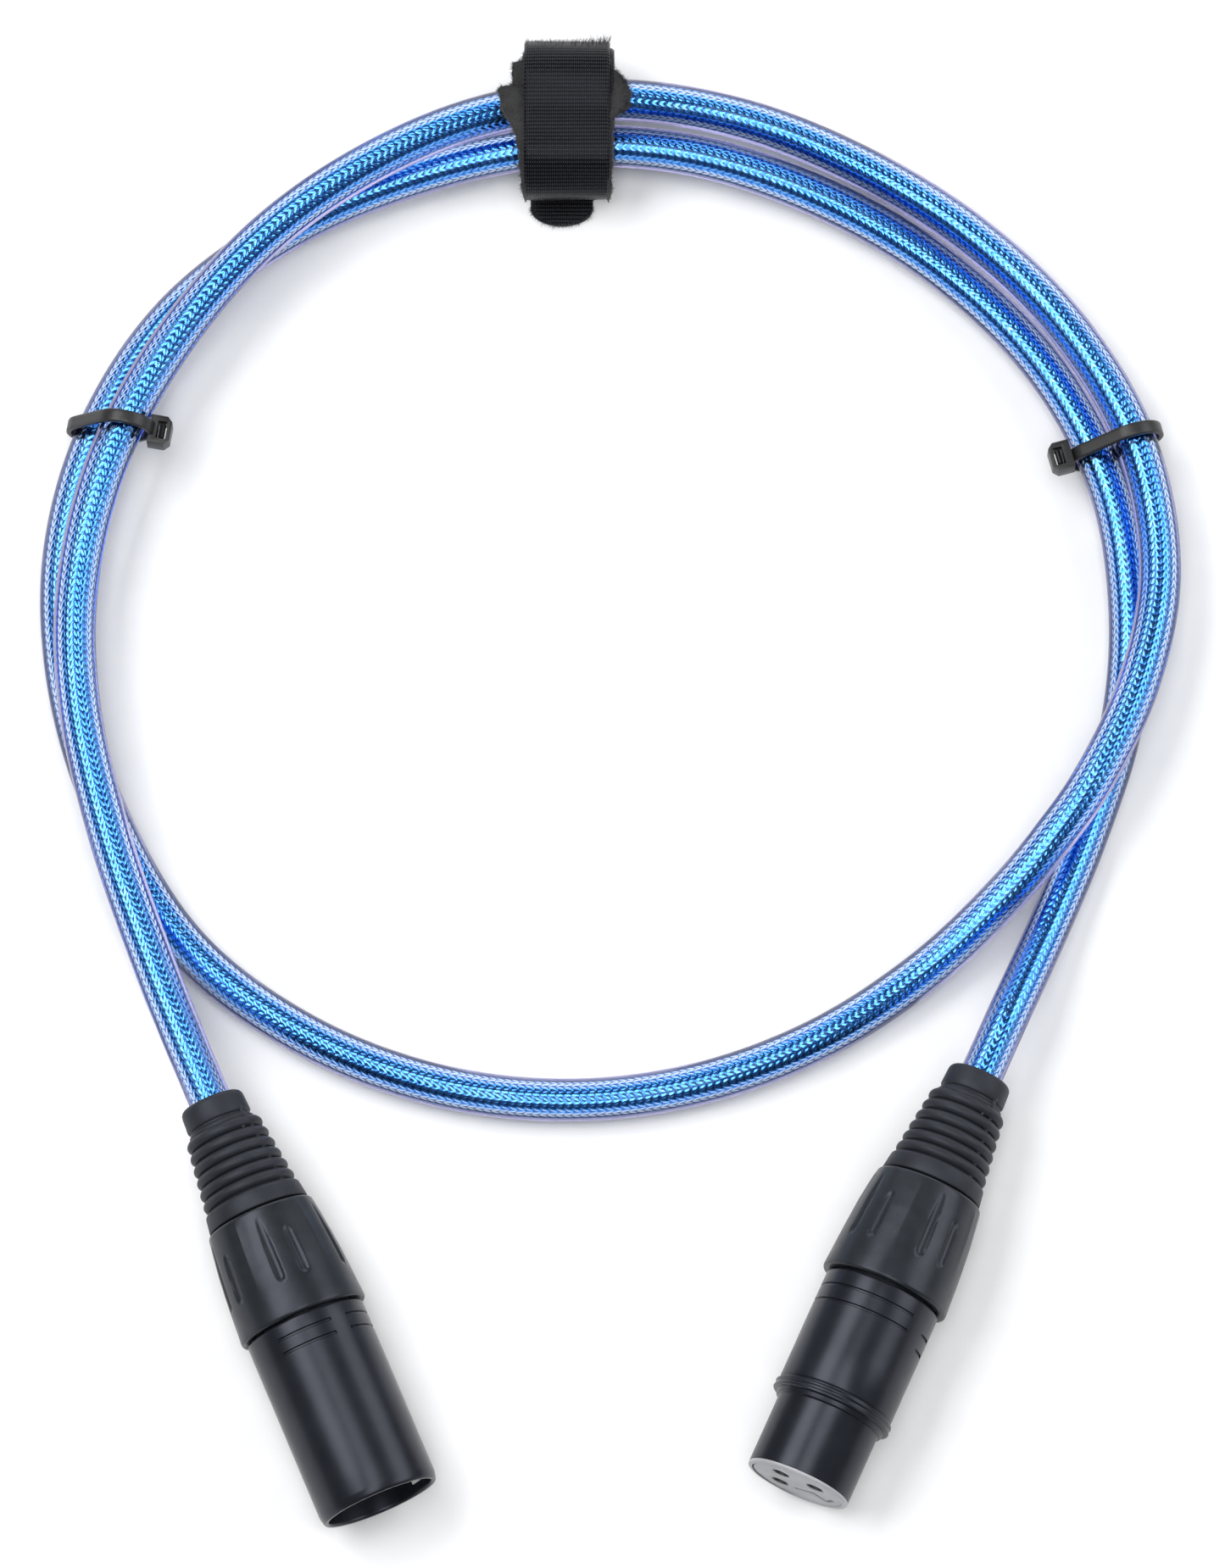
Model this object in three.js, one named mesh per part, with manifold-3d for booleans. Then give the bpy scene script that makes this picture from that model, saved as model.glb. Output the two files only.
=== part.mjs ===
// A one metre XLR microphone cable, laid in two turns on a table with both plugs side by side.
// Units are millimetres, +Z is up and the cable lies on z = 0.
import * as THREE from "three";
import { mergeVertices } from "three/addons/utils/BufferGeometryUtils.js";
import Module from "manifold-3d";

const wasm = await Module();
wasm.setup();

// ---------------------------------------------------------------- driving dimensions

const GAP = 0.3; // clearance between pieces that touch
const CABLE_R = 3.3; // jacket radius
const CABLE_SIDES = 10;
const CABLE_STEPS = 80;
const CABLE_INSIDE = 33; // how far the jacket runs into each connector

const ROUND = 42; // segments of the large round parts
const BOOT_ROUND = 28;
const SMALL_ROUND = 12;

// distances along a connector, from the cable end of its boot
const BOOT_START = 0.5;
const BOOT_END = 19.7;
const NUT_START = 20.0;
const NUT_END = 37.5;
const SLEEVE_START = 30.0;
const SHELL_START = 37.8;
const MALE_LENGTH = 67.4;
const FEMALE_LENGTH = 70.0;

// radii shared by both connectors
const NUT_R = 10.05;
const SLEEVE_R = 8.3;
const SLEEVE_BORE = 7.6;
const PIN_CIRCLE = 3.9; // the three contacts stand on this radius
const PIN_R = 1.2;

// male shell
const MALE_R = 9.36;
const MALE_BORE = 8.3;
const MALE_INSERT_FACE = 52.8;
const MALE_PIN_TIP = 64.4;

// female shell
const FEMALE_BODY_R = 9.1;
const FEMALE_FLANGE_R = 9.45;
const NOSE_R = 8.1;
const NOSE_BORE = 7.5;

// angles round the axis, in degrees from straight up, clockwise when facing the mating end
const MALE_CORNER_PIN = -154;
const MALE_LATCH_NOTCH = 26;
const MALE_KEY = 54;
const FEMALE_CORNER_CONTACT = -45;
const FEMALE_LATCH = 135;
const FEMALE_KEYWAY = 107;
const LATCH_STEP = [[2.3, 2.78], [-0.92, 2.78], [-1.53, 5.5], [-3.75, 4.3]];
const BOOT_SEAM = 48;
const FLUTE_PAIRS = 5;
const FLUTE_SPREAD = 11.75; // half the angle between the two flutes of a pair
const MALE_FLUTES = 5.5;
const FEMALE_FLUTES = 30;

// where each connector lies: the cable end of its boot, its heading and its nose-up angle
const MALE_PLACE = { at: [-61.2, -52.7, 10.9], yaw: 23, pitch: -1.3 };
const FEMALE_PLACE = { at: [56.2, -48.4, 9.4], yaw: -24, pitch: 1.0 };

// hook-and-loop strap round the top of the coil
const STRAP_X = [-13.8, -0.4];
const STRAP_THICK = 0.7;
const STRAP_PITCH = 1.0;
const STRAP_CENTRE = { y: 105.3, z: 7.95 };
const STRAP_HALF = { y: 11.1, z: 5.6 };
const STRAP_TAIL = 11.0; // straight end of the strap, flat on the table
const STRAP_TAB = { x: -7.95, y: 93.6, halfWide: 4.8, long: 2.8 };

// cable ties
const TIE_WIDTH = 2.5;
const TIE_THICK = 0.9;
const TIE_SLACK = 0.25;
const TIE_HEAD = { long: 3.4, high: 3.4, wide: 4.5, corner: 0.8 };

// centre line of the cable between the two boots, from the male plug to the female plug
const ROUTE = [
  [-69.5, -32.5, 10.9],
  [-77.0, -11.0, 10.3],
  [-82.0, 10.5, 10.3],
  [-82.5, 29.0, 10.3],
  [-78.0, 49.0, 11.2],
  [-68.0, 68.5, 11.3],
  [-54.5, 85.0, 11.2],
  [-38.5, 97.0, 11.2],
  [-20.0, 105.5, 10.4],
  [0.0, 109.3, 7.2],
  [20.0, 107.0, 4.8],
  [38.5, 99.5, 4.2],
  [56.0, 87.5, 5.8],
  [70.5, 72.0, 7.9],
  [81.0, 53.0, 8.7],
  [84.5, 32.0, 9.2],
  [81.0, 13.5, 10.4],
  [73.5, -2.5, 10.4],
  [67.5, -11.0, 9.3],
  [60.5, -19.0, 6.6],
  [48.0, -30.5, 3.5],
  [31.5, -41.5, 3.4],
  [13.0, -48.5, 3.4],
  [-7.0, -51.0, 3.4],
  [-27.5, -48.5, 3.4],
  [-47.5, -40.5, 3.4],
  [-65.0, -27.0, 3.4],
  [-77.0, -7.5, 3.4],
  [-84.0, 14.5, 3.4],
  [-85.0, 36.0, 4.1],
  [-79.5, 56.5, 5.2],
  [-68.0, 75.0, 4.7],
  [-50.5, 89.0, 4.1],
  [-31.0, 97.5, 4.7],
  [-10.0, 102.0, 5.5],
  [11.5, 101.0, 5.2],
  [32.0, 94.5, 4.0],
  [51.0, 83.0, 3.8],
  [67.0, 66.5, 4.5],
  [77.0, 46.5, 5.1],
  [80.0, 27.0, 3.9],
  [78.5, 8.5, 3.4],
  [73.0, -9.0, 3.5],
  [66.5, -25.0, 5.2],
];

// ---------------------------------------------------------------- materials

const MATERIALS = {
  jacket: { color: 0x3f63c8, roughness: 0.18, metalness: 0.1 },
  rubber: { color: 0x202224, roughness: 0.72, metalness: 0.0 },
  blackPlastic: { color: 0x26282a, roughness: 0.5, metalness: 0.0 },
  blackMetal: { color: 0x1f2123, roughness: 0.4, metalness: 0.6 },
  greyPlastic: { color: 0x9a9c9e, roughness: 0.5, metalness: 0.0 },
  whitePlastic: { color: 0xd8d6cf, roughness: 0.55, metalness: 0.0 },
  nickel: { color: 0xc9cacc, roughness: 0.25, metalness: 1.0 },
  springSteel: { color: 0xa9abad, roughness: 0.3, metalness: 1.0 },
  redWire: { color: 0xb3262a, roughness: 0.5, metalness: 0.0 },
  whiteWire: { color: 0xe2e0da, roughness: 0.5, metalness: 0.0 },
  copper: { color: 0xc98b62, roughness: 0.35, metalness: 0.9 },
  tieNylon: { color: 0x18191a, roughness: 0.45, metalness: 0.0 },
  strapNylon: { color: 0x1c1d20, roughness: 0.85, metalness: 0.0 },
};

function piece(name, geometry, material) {
  const mesh = new THREE.Mesh(geometry, new THREE.MeshStandardMaterial(MATERIALS[material]));
  mesh.name = name;
  return mesh;
}

// ---------------------------------------------------------------- solid helpers

function toSolid(geometry) {
  const bare = geometry.clone();
  bare.deleteAttribute("normal");
  bare.deleteAttribute("uv");
  const merged = mergeVertices(bare, 1e-4);
  return new wasm.Manifold(
    new wasm.Mesh({
      numProp: 3,
      vertProperties: new Float32Array(merged.attributes.position.array),
      triVerts: new Uint32Array(merged.index.array),
    })
  );
}

function toGeometry(solid) {
  const mesh = solid.getMesh();
  const geometry = new THREE.BufferGeometry();
  geometry.setAttribute("position", new THREE.BufferAttribute(mesh.vertProperties, 3));
  geometry.setIndex(new THREE.BufferAttribute(mesh.triVerts, 1));
  geometry.computeVertexNormals();
  return geometry;
}

function cut(base, tools) {
  let solid = toSolid(base);
  for (const tool of tools) solid = solid.subtract(toSolid(tool));
  return toGeometry(solid);
}

function join(base, extras) {
  let solid = toSolid(base);
  for (const extra of extras) solid = solid.add(toSolid(extra));
  return toGeometry(solid);
}

// Revolves a closed outline of [radius, distance] points round the Y axis.
function revolve(outline, segments) {
  const points = outline.map(([r, t]) => new THREE.Vector2(r, t));
  if (THREE.ShapeUtils.area(points) < 0) points.reverse();
  points.push(points[0].clone());
  return new THREE.LatheGeometry(points, segments);
}

// Revolves an open outline whose first and last points lie on the Y axis.
function revolveSolid(outline, segments) {
  const points = outline.map(([r, t]) => new THREE.Vector2(r, t));
  if (THREE.ShapeUtils.area(points) < 0) points.reverse();
  return new THREE.LatheGeometry(points, segments);
}

// Turns an outline drawn in X and Y, and extruded along Z, into one drawn in Y and Z and extruded along X.
const AXIS_TO_PLATE = new THREE.Matrix4().makeBasis(
  new THREE.Vector3(0, 1, 0),
  new THREE.Vector3(0, 0, 1),
  new THREE.Vector3(1, 0, 0)
);

// Direction round a connector's axis, from an angle in degrees.
function outward(degrees) {
  const a = THREE.MathUtils.degToRad(degrees);
  return new THREE.Vector3(-Math.sin(a), 0, Math.cos(a));
}

// A box that stands at an angle round the axis: across, along the axis, and from one radius to another.
function radialBox(degrees, across, [t0, t1], [r0, r1]) {
  const box = new THREE.BoxGeometry(across, t1 - t0, r1 - r0);
  box.translate(0, (t0 + t1) / 2, (r0 + r1) / 2);
  return box.applyMatrix4(new THREE.Matrix4().makeRotationY(-THREE.MathUtils.degToRad(degrees)));
}

// A plate that stands at an angle round the axis: its outline is drawn as distance and radius.
function radialPlate(degrees, outline, across) {
  const plate = new THREE.ExtrudeGeometry(outline, { depth: across, bevelEnabled: false });
  plate.translate(0, 0, -across / 2);
  plate.applyMatrix4(AXIS_TO_PLATE);
  return plate.applyMatrix4(new THREE.Matrix4().makeRotationY(-THREE.MathUtils.degToRad(degrees)));
}

function cylinderAt(x, z, radius, t0, t1, segments = SMALL_ROUND) {
  const tube = new THREE.CylinderGeometry(radius, radius, t1 - t0, segments);
  return tube.translate(x, (t0 + t1) / 2, z);
}

// The three contact positions, the corner one first.
function contactPlaces(cornerAngle) {
  return [0, 90, -90].map((step) => outward(cornerAngle + step).multiplyScalar(PIN_CIRCLE));
}

// A round bar that follows a line of points.
function bar(points, radius, sides, steps) {
  const shape = new THREE.Shape();
  for (let i = 0; i < sides; i++) {
    const a = (2 * Math.PI * i) / sides;
    const x = radius * Math.cos(a);
    const y = radius * Math.sin(a);
    if (i === 0) shape.moveTo(x, y);
    else shape.lineTo(x, y);
  }
  const path = new THREE.CatmullRomCurve3(points, false, "centripetal");
  path.arcLengthDivisions = 2000;
  return new THREE.ExtrudeGeometry(shape, { steps, bevelEnabled: false, extrudePath: path });
}

// ---------------------------------------------------------------- parts shared by both connectors

// Rubber boot: plain collar, six rounded ribs that widen, a base collar and a hidden foot.
function bootGeometry() {
  const bore = CABLE_R + GAP + 0.1;
  const outline = [
    [bore, BOOT_START],
    [4.65, BOOT_START],
    [5.0, 1.1],
    [5.12, 3.9],
    [4.85, 4.1],
    [4.85, 4.45],
    [5.25, 4.7],
  ];
  const ribs = 6;
  const pitch = 1.9;
  for (let i = 0; i < ribs; i++) {
    const t = 5.4 + i * pitch;
    const crest = 5.98 + i * 0.25;
    outline.push([crest - 0.7, t - 0.1]);
    outline.push([crest, t + 0.3]);
    outline.push([crest, t + 0.95]);
    outline.push([crest - 0.65, t + 1.4]);
  }
  outline.push([7.5, 16.9], [7.62, 17.2], [8.0, BOOT_END]);
  outline.push([6.6, BOOT_END], [6.6, 22.2], [7.25, 22.2], [7.25, 23.5], [bore, 23.5]);
  const body = revolve(outline, BOOT_ROUND);
  const ridge = new THREE.Shape();
  ridge.moveTo(3.9, 4.7);
  ridge.lineTo(17.1, 4.7);
  ridge.lineTo(17.1, 7.0);
  ridge.lineTo(5.1, 5.5);
  ridge.lineTo(3.9, 5.05);
  return join(body, [radialPlate(BOOT_SEAM, ridge, 0.8)]);
}

// Back nut: tapered barrel with five pairs of finger flutes, a long and a short one in each pair.
function nutGeometry(firstPair) {
  const body = revolve(
    [
      [6.9, NUT_START],
      [8.2, NUT_START],
      [8.45, NUT_START + 0.3],
      [8.85, 23.1],
      [9.25, 26.2],
      [9.55, 29.4],
      [9.78, 32.6],
      [9.92, 35.1],
      [NUT_R, 36.8],
      [NUT_R, 37.2],
      [9.85, NUT_END],
      [8.7, NUT_END],
      [8.7, 29.5],
      [7.6, 29.5],
      [7.6, 21.9],
      [6.9, 21.9],
    ],
    ROUND
  );
  const flutes = [];
  const to = 31.4;
  for (let i = 0; i < 2 * FLUTE_PAIRS; i++) {
    const long = i % 2 === 0;
    const from = long ? 22.0 : 25.0;
    const pair = firstPair + (360 / FLUTE_PAIRS) * Math.floor(i / 2);
    const angle = pair + (long ? -FLUTE_SPREAD : FLUTE_SPREAD);
    const flute = new THREE.CapsuleGeometry(1.05, to - from, 2, 8);
    flute.translate(0, (from + to) / 2, 0);
    const lean = Math.atan2(9.7 - 8.95, 31.2 - 22.0);
    flute.translate(0, -26, 0);
    flute.rotateX(lean);
    flute.translate(0, 26, 9.98);
    flute.applyMatrix4(new THREE.Matrix4().makeRotationY(-THREE.MathUtils.degToRad(angle)));
    flutes.push(flute);
  }
  return cut(body, flutes);
}

// Strain relief: a split collet that grips the jacket inside the nut.
function chuckGeometry() {
  const body = revolve(
    [
      [CABLE_R + GAP, 24.0],
      [6.0, 24.0],
      [7.1, 26.0],
      [7.1, 35.6],
      [6.7, 36.4],
      [CABLE_R + GAP, 36.4],
    ],
    28
  );
  const slots = [];
  for (let i = 0; i < 4; i++) {
    slots.push(radialBox(45 + i * 90, 1.2, [23, 31.5], [2.5, 9]));
  }
  return cut(body, slots);
}

// An insulated core or drain wire from the end of the jacket to a solder cup.
function wireGeometry(place, cupEnd) {
  const start = place.clone().setLength(1.5);
  const end = place.clone();
  const line = [
    start.clone().setY(CABLE_INSIDE + GAP),
    start.clone().setY(CABLE_INSIDE + 2.2),
    start.clone().lerp(end, 0.5).setY((CABLE_INSIDE + cupEnd) / 2),
    end.clone().setY(cupEnd - 1.4),
    end.clone().setY(cupEnd + 1.4),
  ];
  return bar(line, 0.55, 6, 8);
}

// Thin engraved ring on a shell, left out over some angles.
function engravedRing(radius, t, gaps) {
  let ring = toSolid(
    revolve(
      [
        [radius - 0.28, t - 0.05],
        [radius + 0.4, t - 0.22],
        [radius + 0.4, t + 0.22],
        [radius - 0.28, t + 0.05],
      ],
      ROUND
    )
  );
  for (const [from, to] of gaps) {
    const shape = new THREE.Shape();
    shape.moveTo(0, 0);
    for (let k = 0; k <= 4; k++) {
      const a = THREE.MathUtils.degToRad(from + ((to - from) * k) / 4);
      shape.lineTo(-20 * Math.sin(a), -20 * Math.cos(a));
    }
    const wedge = new THREE.ExtrudeGeometry(shape, { depth: 4, bevelEnabled: false });
    wedge.translate(0, 0, -2);
    wedge.rotateX(-Math.PI / 2);
    wedge.translate(0, t, 0);
    ring = ring.subtract(toSolid(wedge));
  }
  return toGeometry(ring);
}

// ---------------------------------------------------------------- male connector

function maleShell() {
  const body = revolve(
    [
      [SLEEVE_BORE, SLEEVE_START],
      [SLEEVE_R, SLEEVE_START],
      [SLEEVE_R, SHELL_START],
      [9.1, SHELL_START],
      [MALE_R, SHELL_START + 0.3],
      [MALE_R, MALE_LENGTH - 1.2],
      [MALE_R - 0.2, MALE_LENGTH - 0.3],
      [MALE_R - 0.45, MALE_LENGTH],
      [MALE_BORE + 0.2, MALE_LENGTH],
      [MALE_BORE, MALE_LENGTH - 0.4],
      [MALE_BORE, 45.5],
      [SLEEVE_BORE, 45.5],
    ],
    ROUND
  );
  const rings = [40.1, 42.3].map((t) => engravedRing(MALE_R, t, [[-100, -34], [22, 38]]));
  const notch = radialBox(MALE_LATCH_NOTCH, 3.0, [56.4, 59.4], [7.0, 8.95]);
  return piece("male_shell", cut(body, [...rings, notch]), "blackMetal");
}

function maleInsert() {
  const body = revolveSolid(
    [
      [0, 45.8],
      [8.0, 45.8],
      [8.0, MALE_INSERT_FACE - 0.3],
      [7.7, MALE_INSERT_FACE],
      [0, MALE_INSERT_FACE],
    ],
    40
  );
  const holes = contactPlaces(MALE_CORNER_PIN).map((p) => cylinderAt(p.x, p.z, PIN_R + GAP, 45, 54));
  return piece("male_insert", cut(body, holes), "blackPlastic");
}

function malePin(index, place) {
  const pin = revolveSolid(
    [
      [0, 44.6],
      [0.85, 44.6],
      [0.85, 42.4],
      [PIN_R, 42.4],
      [PIN_R, MALE_PIN_TIP - 0.9],
      [0.95, MALE_PIN_TIP - 0.35],
      [0.5, MALE_PIN_TIP],
      [0, MALE_PIN_TIP],
    ],
    SMALL_ROUND
  );
  pin.translate(place.x, 0, place.z);
  return piece("male_pin_" + index, pin, "nickel");
}

// Bright key strip along the inside of the shell; it also earths the mating shell.
function maleKeyStrip() {
  const strip = radialBox(MALE_KEY, 2.3, [53.1, 66.7], [6.95, 7.95]);
  return piece("male_key_strip", strip, "nickel");
}

// ---------------------------------------------------------------- female connector

function femaleShell() {
  const body = revolve(
    [
      [SLEEVE_BORE, SLEEVE_START],
      [SLEEVE_R, SLEEVE_START],
      [SLEEVE_R, SHELL_START],
      [8.85, SHELL_START],
      [FEMALE_BODY_R, SHELL_START + 0.3],
      [FEMALE_BODY_R, 55.6],
      [FEMALE_BODY_R - 0.25, 55.8],
      [FEMALE_BODY_R - 0.25, 56.05],
      [FEMALE_FLANGE_R - 0.1, 56.2],
      [FEMALE_FLANGE_R, 56.4],
      [FEMALE_FLANGE_R - 0.2, 56.7],
      [FEMALE_FLANGE_R - 0.2, 57.05],
      [FEMALE_FLANGE_R, 57.3],
      [FEMALE_FLANGE_R - 0.15, 57.6],
      [8.7, 57.6],
      [8.6, 58.3],
      [NOSE_R, 58.5],
      [NOSE_R, FEMALE_LENGTH - 0.35],
      [NOSE_R - 0.3, FEMALE_LENGTH],
      [NOSE_BORE, FEMALE_LENGTH],
      [NOSE_BORE, 50.7],
      [SLEEVE_BORE, 50.7],
    ],
    ROUND
  );
  const rings = [40.5, 43.0].map((t) => engravedRing(FEMALE_BODY_R, t, [[42.5, 80], [80, 118]]));
  const marks = [42.1, 44.6].map((t) => radialBox(74, 3.6, [t - 0.24, t + 0.24], [8.75, 11]));
  const padSlot = radialBox(FEMALE_LATCH, 5.0, [45.1, 53.5], [6.5, 11]);
  const toothWindow = radialBox(FEMALE_LATCH, 2.6, [60.6, 64.0], [6.5, 9]);
  const keyway = radialBox(FEMALE_KEYWAY, 3.0, [59.2, 71], [6.9, 9]);
  return piece("female_shell", cut(body, [...rings, ...marks, padSlot, toothWindow, keyway]), "blackMetal");
}

function femaleInsert() {
  const face = FEMALE_LENGTH - 0.1;
  const body = revolveSolid(
    [
      [0, 48.4],
      [7.2, 48.4],
      [7.2, face - 0.2],
      [7.0, face],
      [0, face],
    ],
    40
  );
  const tools = [];
  for (const p of contactPlaces(FEMALE_CORNER_CONTACT)) {
    tools.push(cylinderAt(p.x, p.z, 1.95, 48, 68.9));
    tools.push(cylinderAt(p.x, p.z, 1.4, 68.5, 71));
  }
  tools.push(radialBox(FEMALE_LATCH, 3.4, [48, 65.2], [4.4, 8]));
  // fine step round the latch tongue: across and radius of its corners, seen on the end face
  for (let k = 1; k < LATCH_STEP.length; k++) {
    const [a, b] = [LATCH_STEP[k - 1], LATCH_STEP[k]];
    const groove = new THREE.BoxGeometry(Math.hypot(b[0] - a[0], b[1] - a[1]) + 0.3, 1.5, 0.3);
    groove.rotateY(-Math.atan2(b[1] - a[1], b[0] - a[0]));
    groove.translate((a[0] + b[0]) / 2, face + 0.25, (a[1] + b[1]) / 2);
    groove.applyMatrix4(new THREE.Matrix4().makeRotationY(-THREE.MathUtils.degToRad(FEMALE_LATCH)));
    tools.push(groove);
  }
  return piece("female_insert", cut(body, tools), "greyPlastic");
}

function femaleContact(index, place) {
  const socket = revolve(
    [
      [1.25, 68.6],
      [1.25, 52.0],
      [0.01, 51.6],
      [0.01, 47.2],
      [0.85, 47.2],
      [0.85, 45.0],
      [1.3, 45.0],
      [1.3, 48.6],
      [1.65, 48.8],
      [1.65, 68.6],
    ],
    SMALL_ROUND
  );
  socket.translate(place.x, 0, place.z);
  return piece("female_contact_" + index, socket, "nickel");
}

// Latch lever: pad, thin arm under the shell and a tooth that stands out of the nose.
function femaleLatch() {
  const arm = radialBox(FEMALE_LATCH, 2.6, [45.6, 64.3], [5.7, 6.75]);
  const stem = radialBox(FEMALE_LATCH, 2.6, [46.0, 52.9], [6.6, 8.0]);
  const pad = radialBox(FEMALE_LATCH, 4.4, [45.4, 53.2], [7.8, 9.5]);
  const tooth = new THREE.Shape();
  tooth.moveTo(61.0, 6.6);
  tooth.lineTo(63.6, 6.6);
  tooth.lineTo(63.6, 7.5);
  tooth.lineTo(61.8, 8.75);
  tooth.lineTo(61.0, 8.75);
  const block = radialPlate(FEMALE_LATCH, tooth, 2.0);
  const ribs = [];
  for (let i = 0; i < 4; i++) {
    const t = 46.6 + i * 1.6;
    ribs.push(radialBox(FEMALE_LATCH, 3.6, [t, t + 0.6], [9.3, 9.75]));
  }
  return piece("female_latch", join(arm, [stem, pad, block, ...ribs]), "blackMetal");
}

// Leaf spring under the latch arm.
function femaleLatchSpring() {
  const line = [
    [46.6, 4.95],
    [48.8, 4.75],
    [51.0, 5.1],
  ];
  const shape = new THREE.Shape();
  line.forEach(([t, r], i) => (i === 0 ? shape.moveTo(t, r) : shape.lineTo(t, r)));
  for (const [t, r] of line.slice().reverse()) shape.lineTo(t, r + 0.25);
  return piece("female_latch_spring", radialPlate(FEMALE_LATCH, shape, 2.2), "springSteel");
}

// ---------------------------------------------------------------- placing the connectors

// Local +Y runs from the boot to the mating end, local +Z is the upper side.
function placeMatrix({ at, yaw, pitch }) {
  const a = THREE.MathUtils.degToRad(yaw);
  const p = THREE.MathUtils.degToRad(pitch);
  const along = new THREE.Vector3(
    Math.sin(a) * Math.cos(p),
    -Math.cos(a) * Math.cos(p),
    Math.sin(p)
  );
  const across = new THREE.Vector3().crossVectors(along, new THREE.Vector3(0, 0, 1)).normalize();
  const upper = new THREE.Vector3().crossVectors(across, along);
  const matrix = new THREE.Matrix4().makeBasis(across, along, upper);
  return matrix.setPosition(new THREE.Vector3(...at));
}

function connector(name, place, pieces) {
  const group = new THREE.Group();
  group.name = name;
  placeMatrix(place).decompose(group.position, group.quaternion, group.scale);
  group.add(...pieces);
  return group;
}

function wires(prefix, places, cupEnd) {
  const names = ["screen", "hot_core", "cold_core"];
  const finish = ["copper", "redWire", "whiteWire"];
  return places.map((p, i) => piece(prefix + names[i], wireGeometry(p, cupEnd), finish[i]));
}

function maleConnector() {
  const places = contactPlaces(MALE_CORNER_PIN);
  return connector("male_connector", MALE_PLACE, [
    piece("male_boot", bootGeometry(), "rubber"),
    piece("male_nut", nutGeometry(MALE_FLUTES), "blackPlastic"),
    piece("male_chuck", chuckGeometry(), "whitePlastic"),
    maleShell(),
    maleInsert(),
    ...places.map((p, i) => malePin(3 - i, p)),
    maleKeyStrip(),
    ...wires("male_", places, 42.4),
  ]);
}

function femaleConnector() {
  const places = contactPlaces(FEMALE_CORNER_CONTACT);
  return connector("female_connector", FEMALE_PLACE, [
    piece("female_boot", bootGeometry(), "rubber"),
    piece("female_nut", nutGeometry(FEMALE_FLUTES), "blackPlastic"),
    piece("female_chuck", chuckGeometry(), "whitePlastic"),
    femaleShell(),
    femaleInsert(),
    ...places.map((p, i) => femaleContact(3 - i, p)),
    femaleLatch(),
    femaleLatchSpring(),
    ...wires("female_", places, 45.0),
  ]);
}

// ---------------------------------------------------------------- cable, ties and strap

function cablePoints() {
  const male = placeMatrix(MALE_PLACE);
  const female = placeMatrix(FEMALE_PLACE);
  const on = (matrix, t) => new THREE.Vector3(0, t, 0).applyMatrix4(matrix);
  return [
    on(male, CABLE_INSIDE),
    on(male, 16),
    on(male, 0),
    on(male, -5),
    on(male, -10),
    ...ROUTE.map((p) => new THREE.Vector3(...p)),
    on(female, -10),
    on(female, -5),
    on(female, 0),
    on(female, 16),
    on(female, CABLE_INSIDE),
  ];
}

function cable() {
  return piece("cable", bar(cablePoints(), CABLE_R, CABLE_SIDES, CABLE_STEPS), "jacket");
}

// Outline that wraps a few equal circles like a belt.
function beltOutline(centres, radius, count) {
  const points = [];
  for (let i = 0; i < count; i++) {
    const a = (2 * Math.PI * i) / count;
    const dir = new THREE.Vector2(Math.cos(a), Math.sin(a));
    let best = centres[0];
    for (const c of centres) if (dir.dot(c) > dir.dot(best)) best = c;
    points.push(new THREE.Vector2(best.x + radius * dir.x, best.y + radius * dir.y));
  }
  return points;
}

// Head of a cable tie: a block with its two outer corners taken off.
function tieHead(outer) {
  const { long, high, wide, corner } = TIE_HEAD;
  const x = (outer * long) / 2;
  const plan = new THREE.Shape();
  plan.moveTo(-x, -wide / 2);
  plan.lineTo(x - outer * corner, -wide / 2);
  plan.lineTo(x, -wide / 2 + corner);
  plan.lineTo(x, wide / 2 - corner);
  plan.lineTo(x - outer * corner, wide / 2);
  plan.lineTo(-x, wide / 2);
  const block = new THREE.ExtrudeGeometry(plan, { depth: high, bevelEnabled: false });
  return block.translate(0, 0, -high / 2).rotateX(-Math.PI / 2);
}

// A nylon cable tie in its own plane: x runs out from the coil's middle, y is up.
function tie(name, { at, yaw, strands, head }) {
  const centres = strands.map(([x, z]) => new THREE.Vector2(x, z));
  const inner = CABLE_R + GAP + TIE_SLACK;
  const band = new THREE.Shape(beltOutline(centres, inner + TIE_THICK, 32));
  band.holes.push(new THREE.Path(beltOutline(centres, inner, 32).reverse()));
  const ring = new THREE.ExtrudeGeometry(band, { depth: TIE_WIDTH, bevelEnabled: false });
  ring.translate(0, 0, -TIE_WIDTH / 2);
  const outer = Math.sign(head[0]);
  const block = tieHead(outer).translate(head[0], head[1], 0);
  const slotX = head[0] + 0.3 * outer;
  const window = new THREE.BoxGeometry(1.5, 6, 2.8).translate(slotX, head[1], 0);
  const geometry = cut(join(ring, [block]), [window]);
  const mesh = piece(name, geometry, "tieNylon");
  mesh.rotation.set(Math.PI / 2, 0, THREE.MathUtils.degToRad(yaw), "ZXY");
  mesh.position.set(...at, 0);
  return mesh;
}

function tieLeft() {
  return tie("tie_left", {
    at: [-77.65, 55.0],
    yaw: -10,
    strands: [[2.15, 11.2], [-2.45, 5.2]],
    head: [7.75, 10.2],
  });
}

function tieRight() {
  return tie("tie_right", {
    at: [78.45, 52.77],
    yaw: 15.4,
    strands: [[2.3, 8.5], [-3.5, 5.1]],
    head: [-9.3, 7.6],
  });
}

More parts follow.
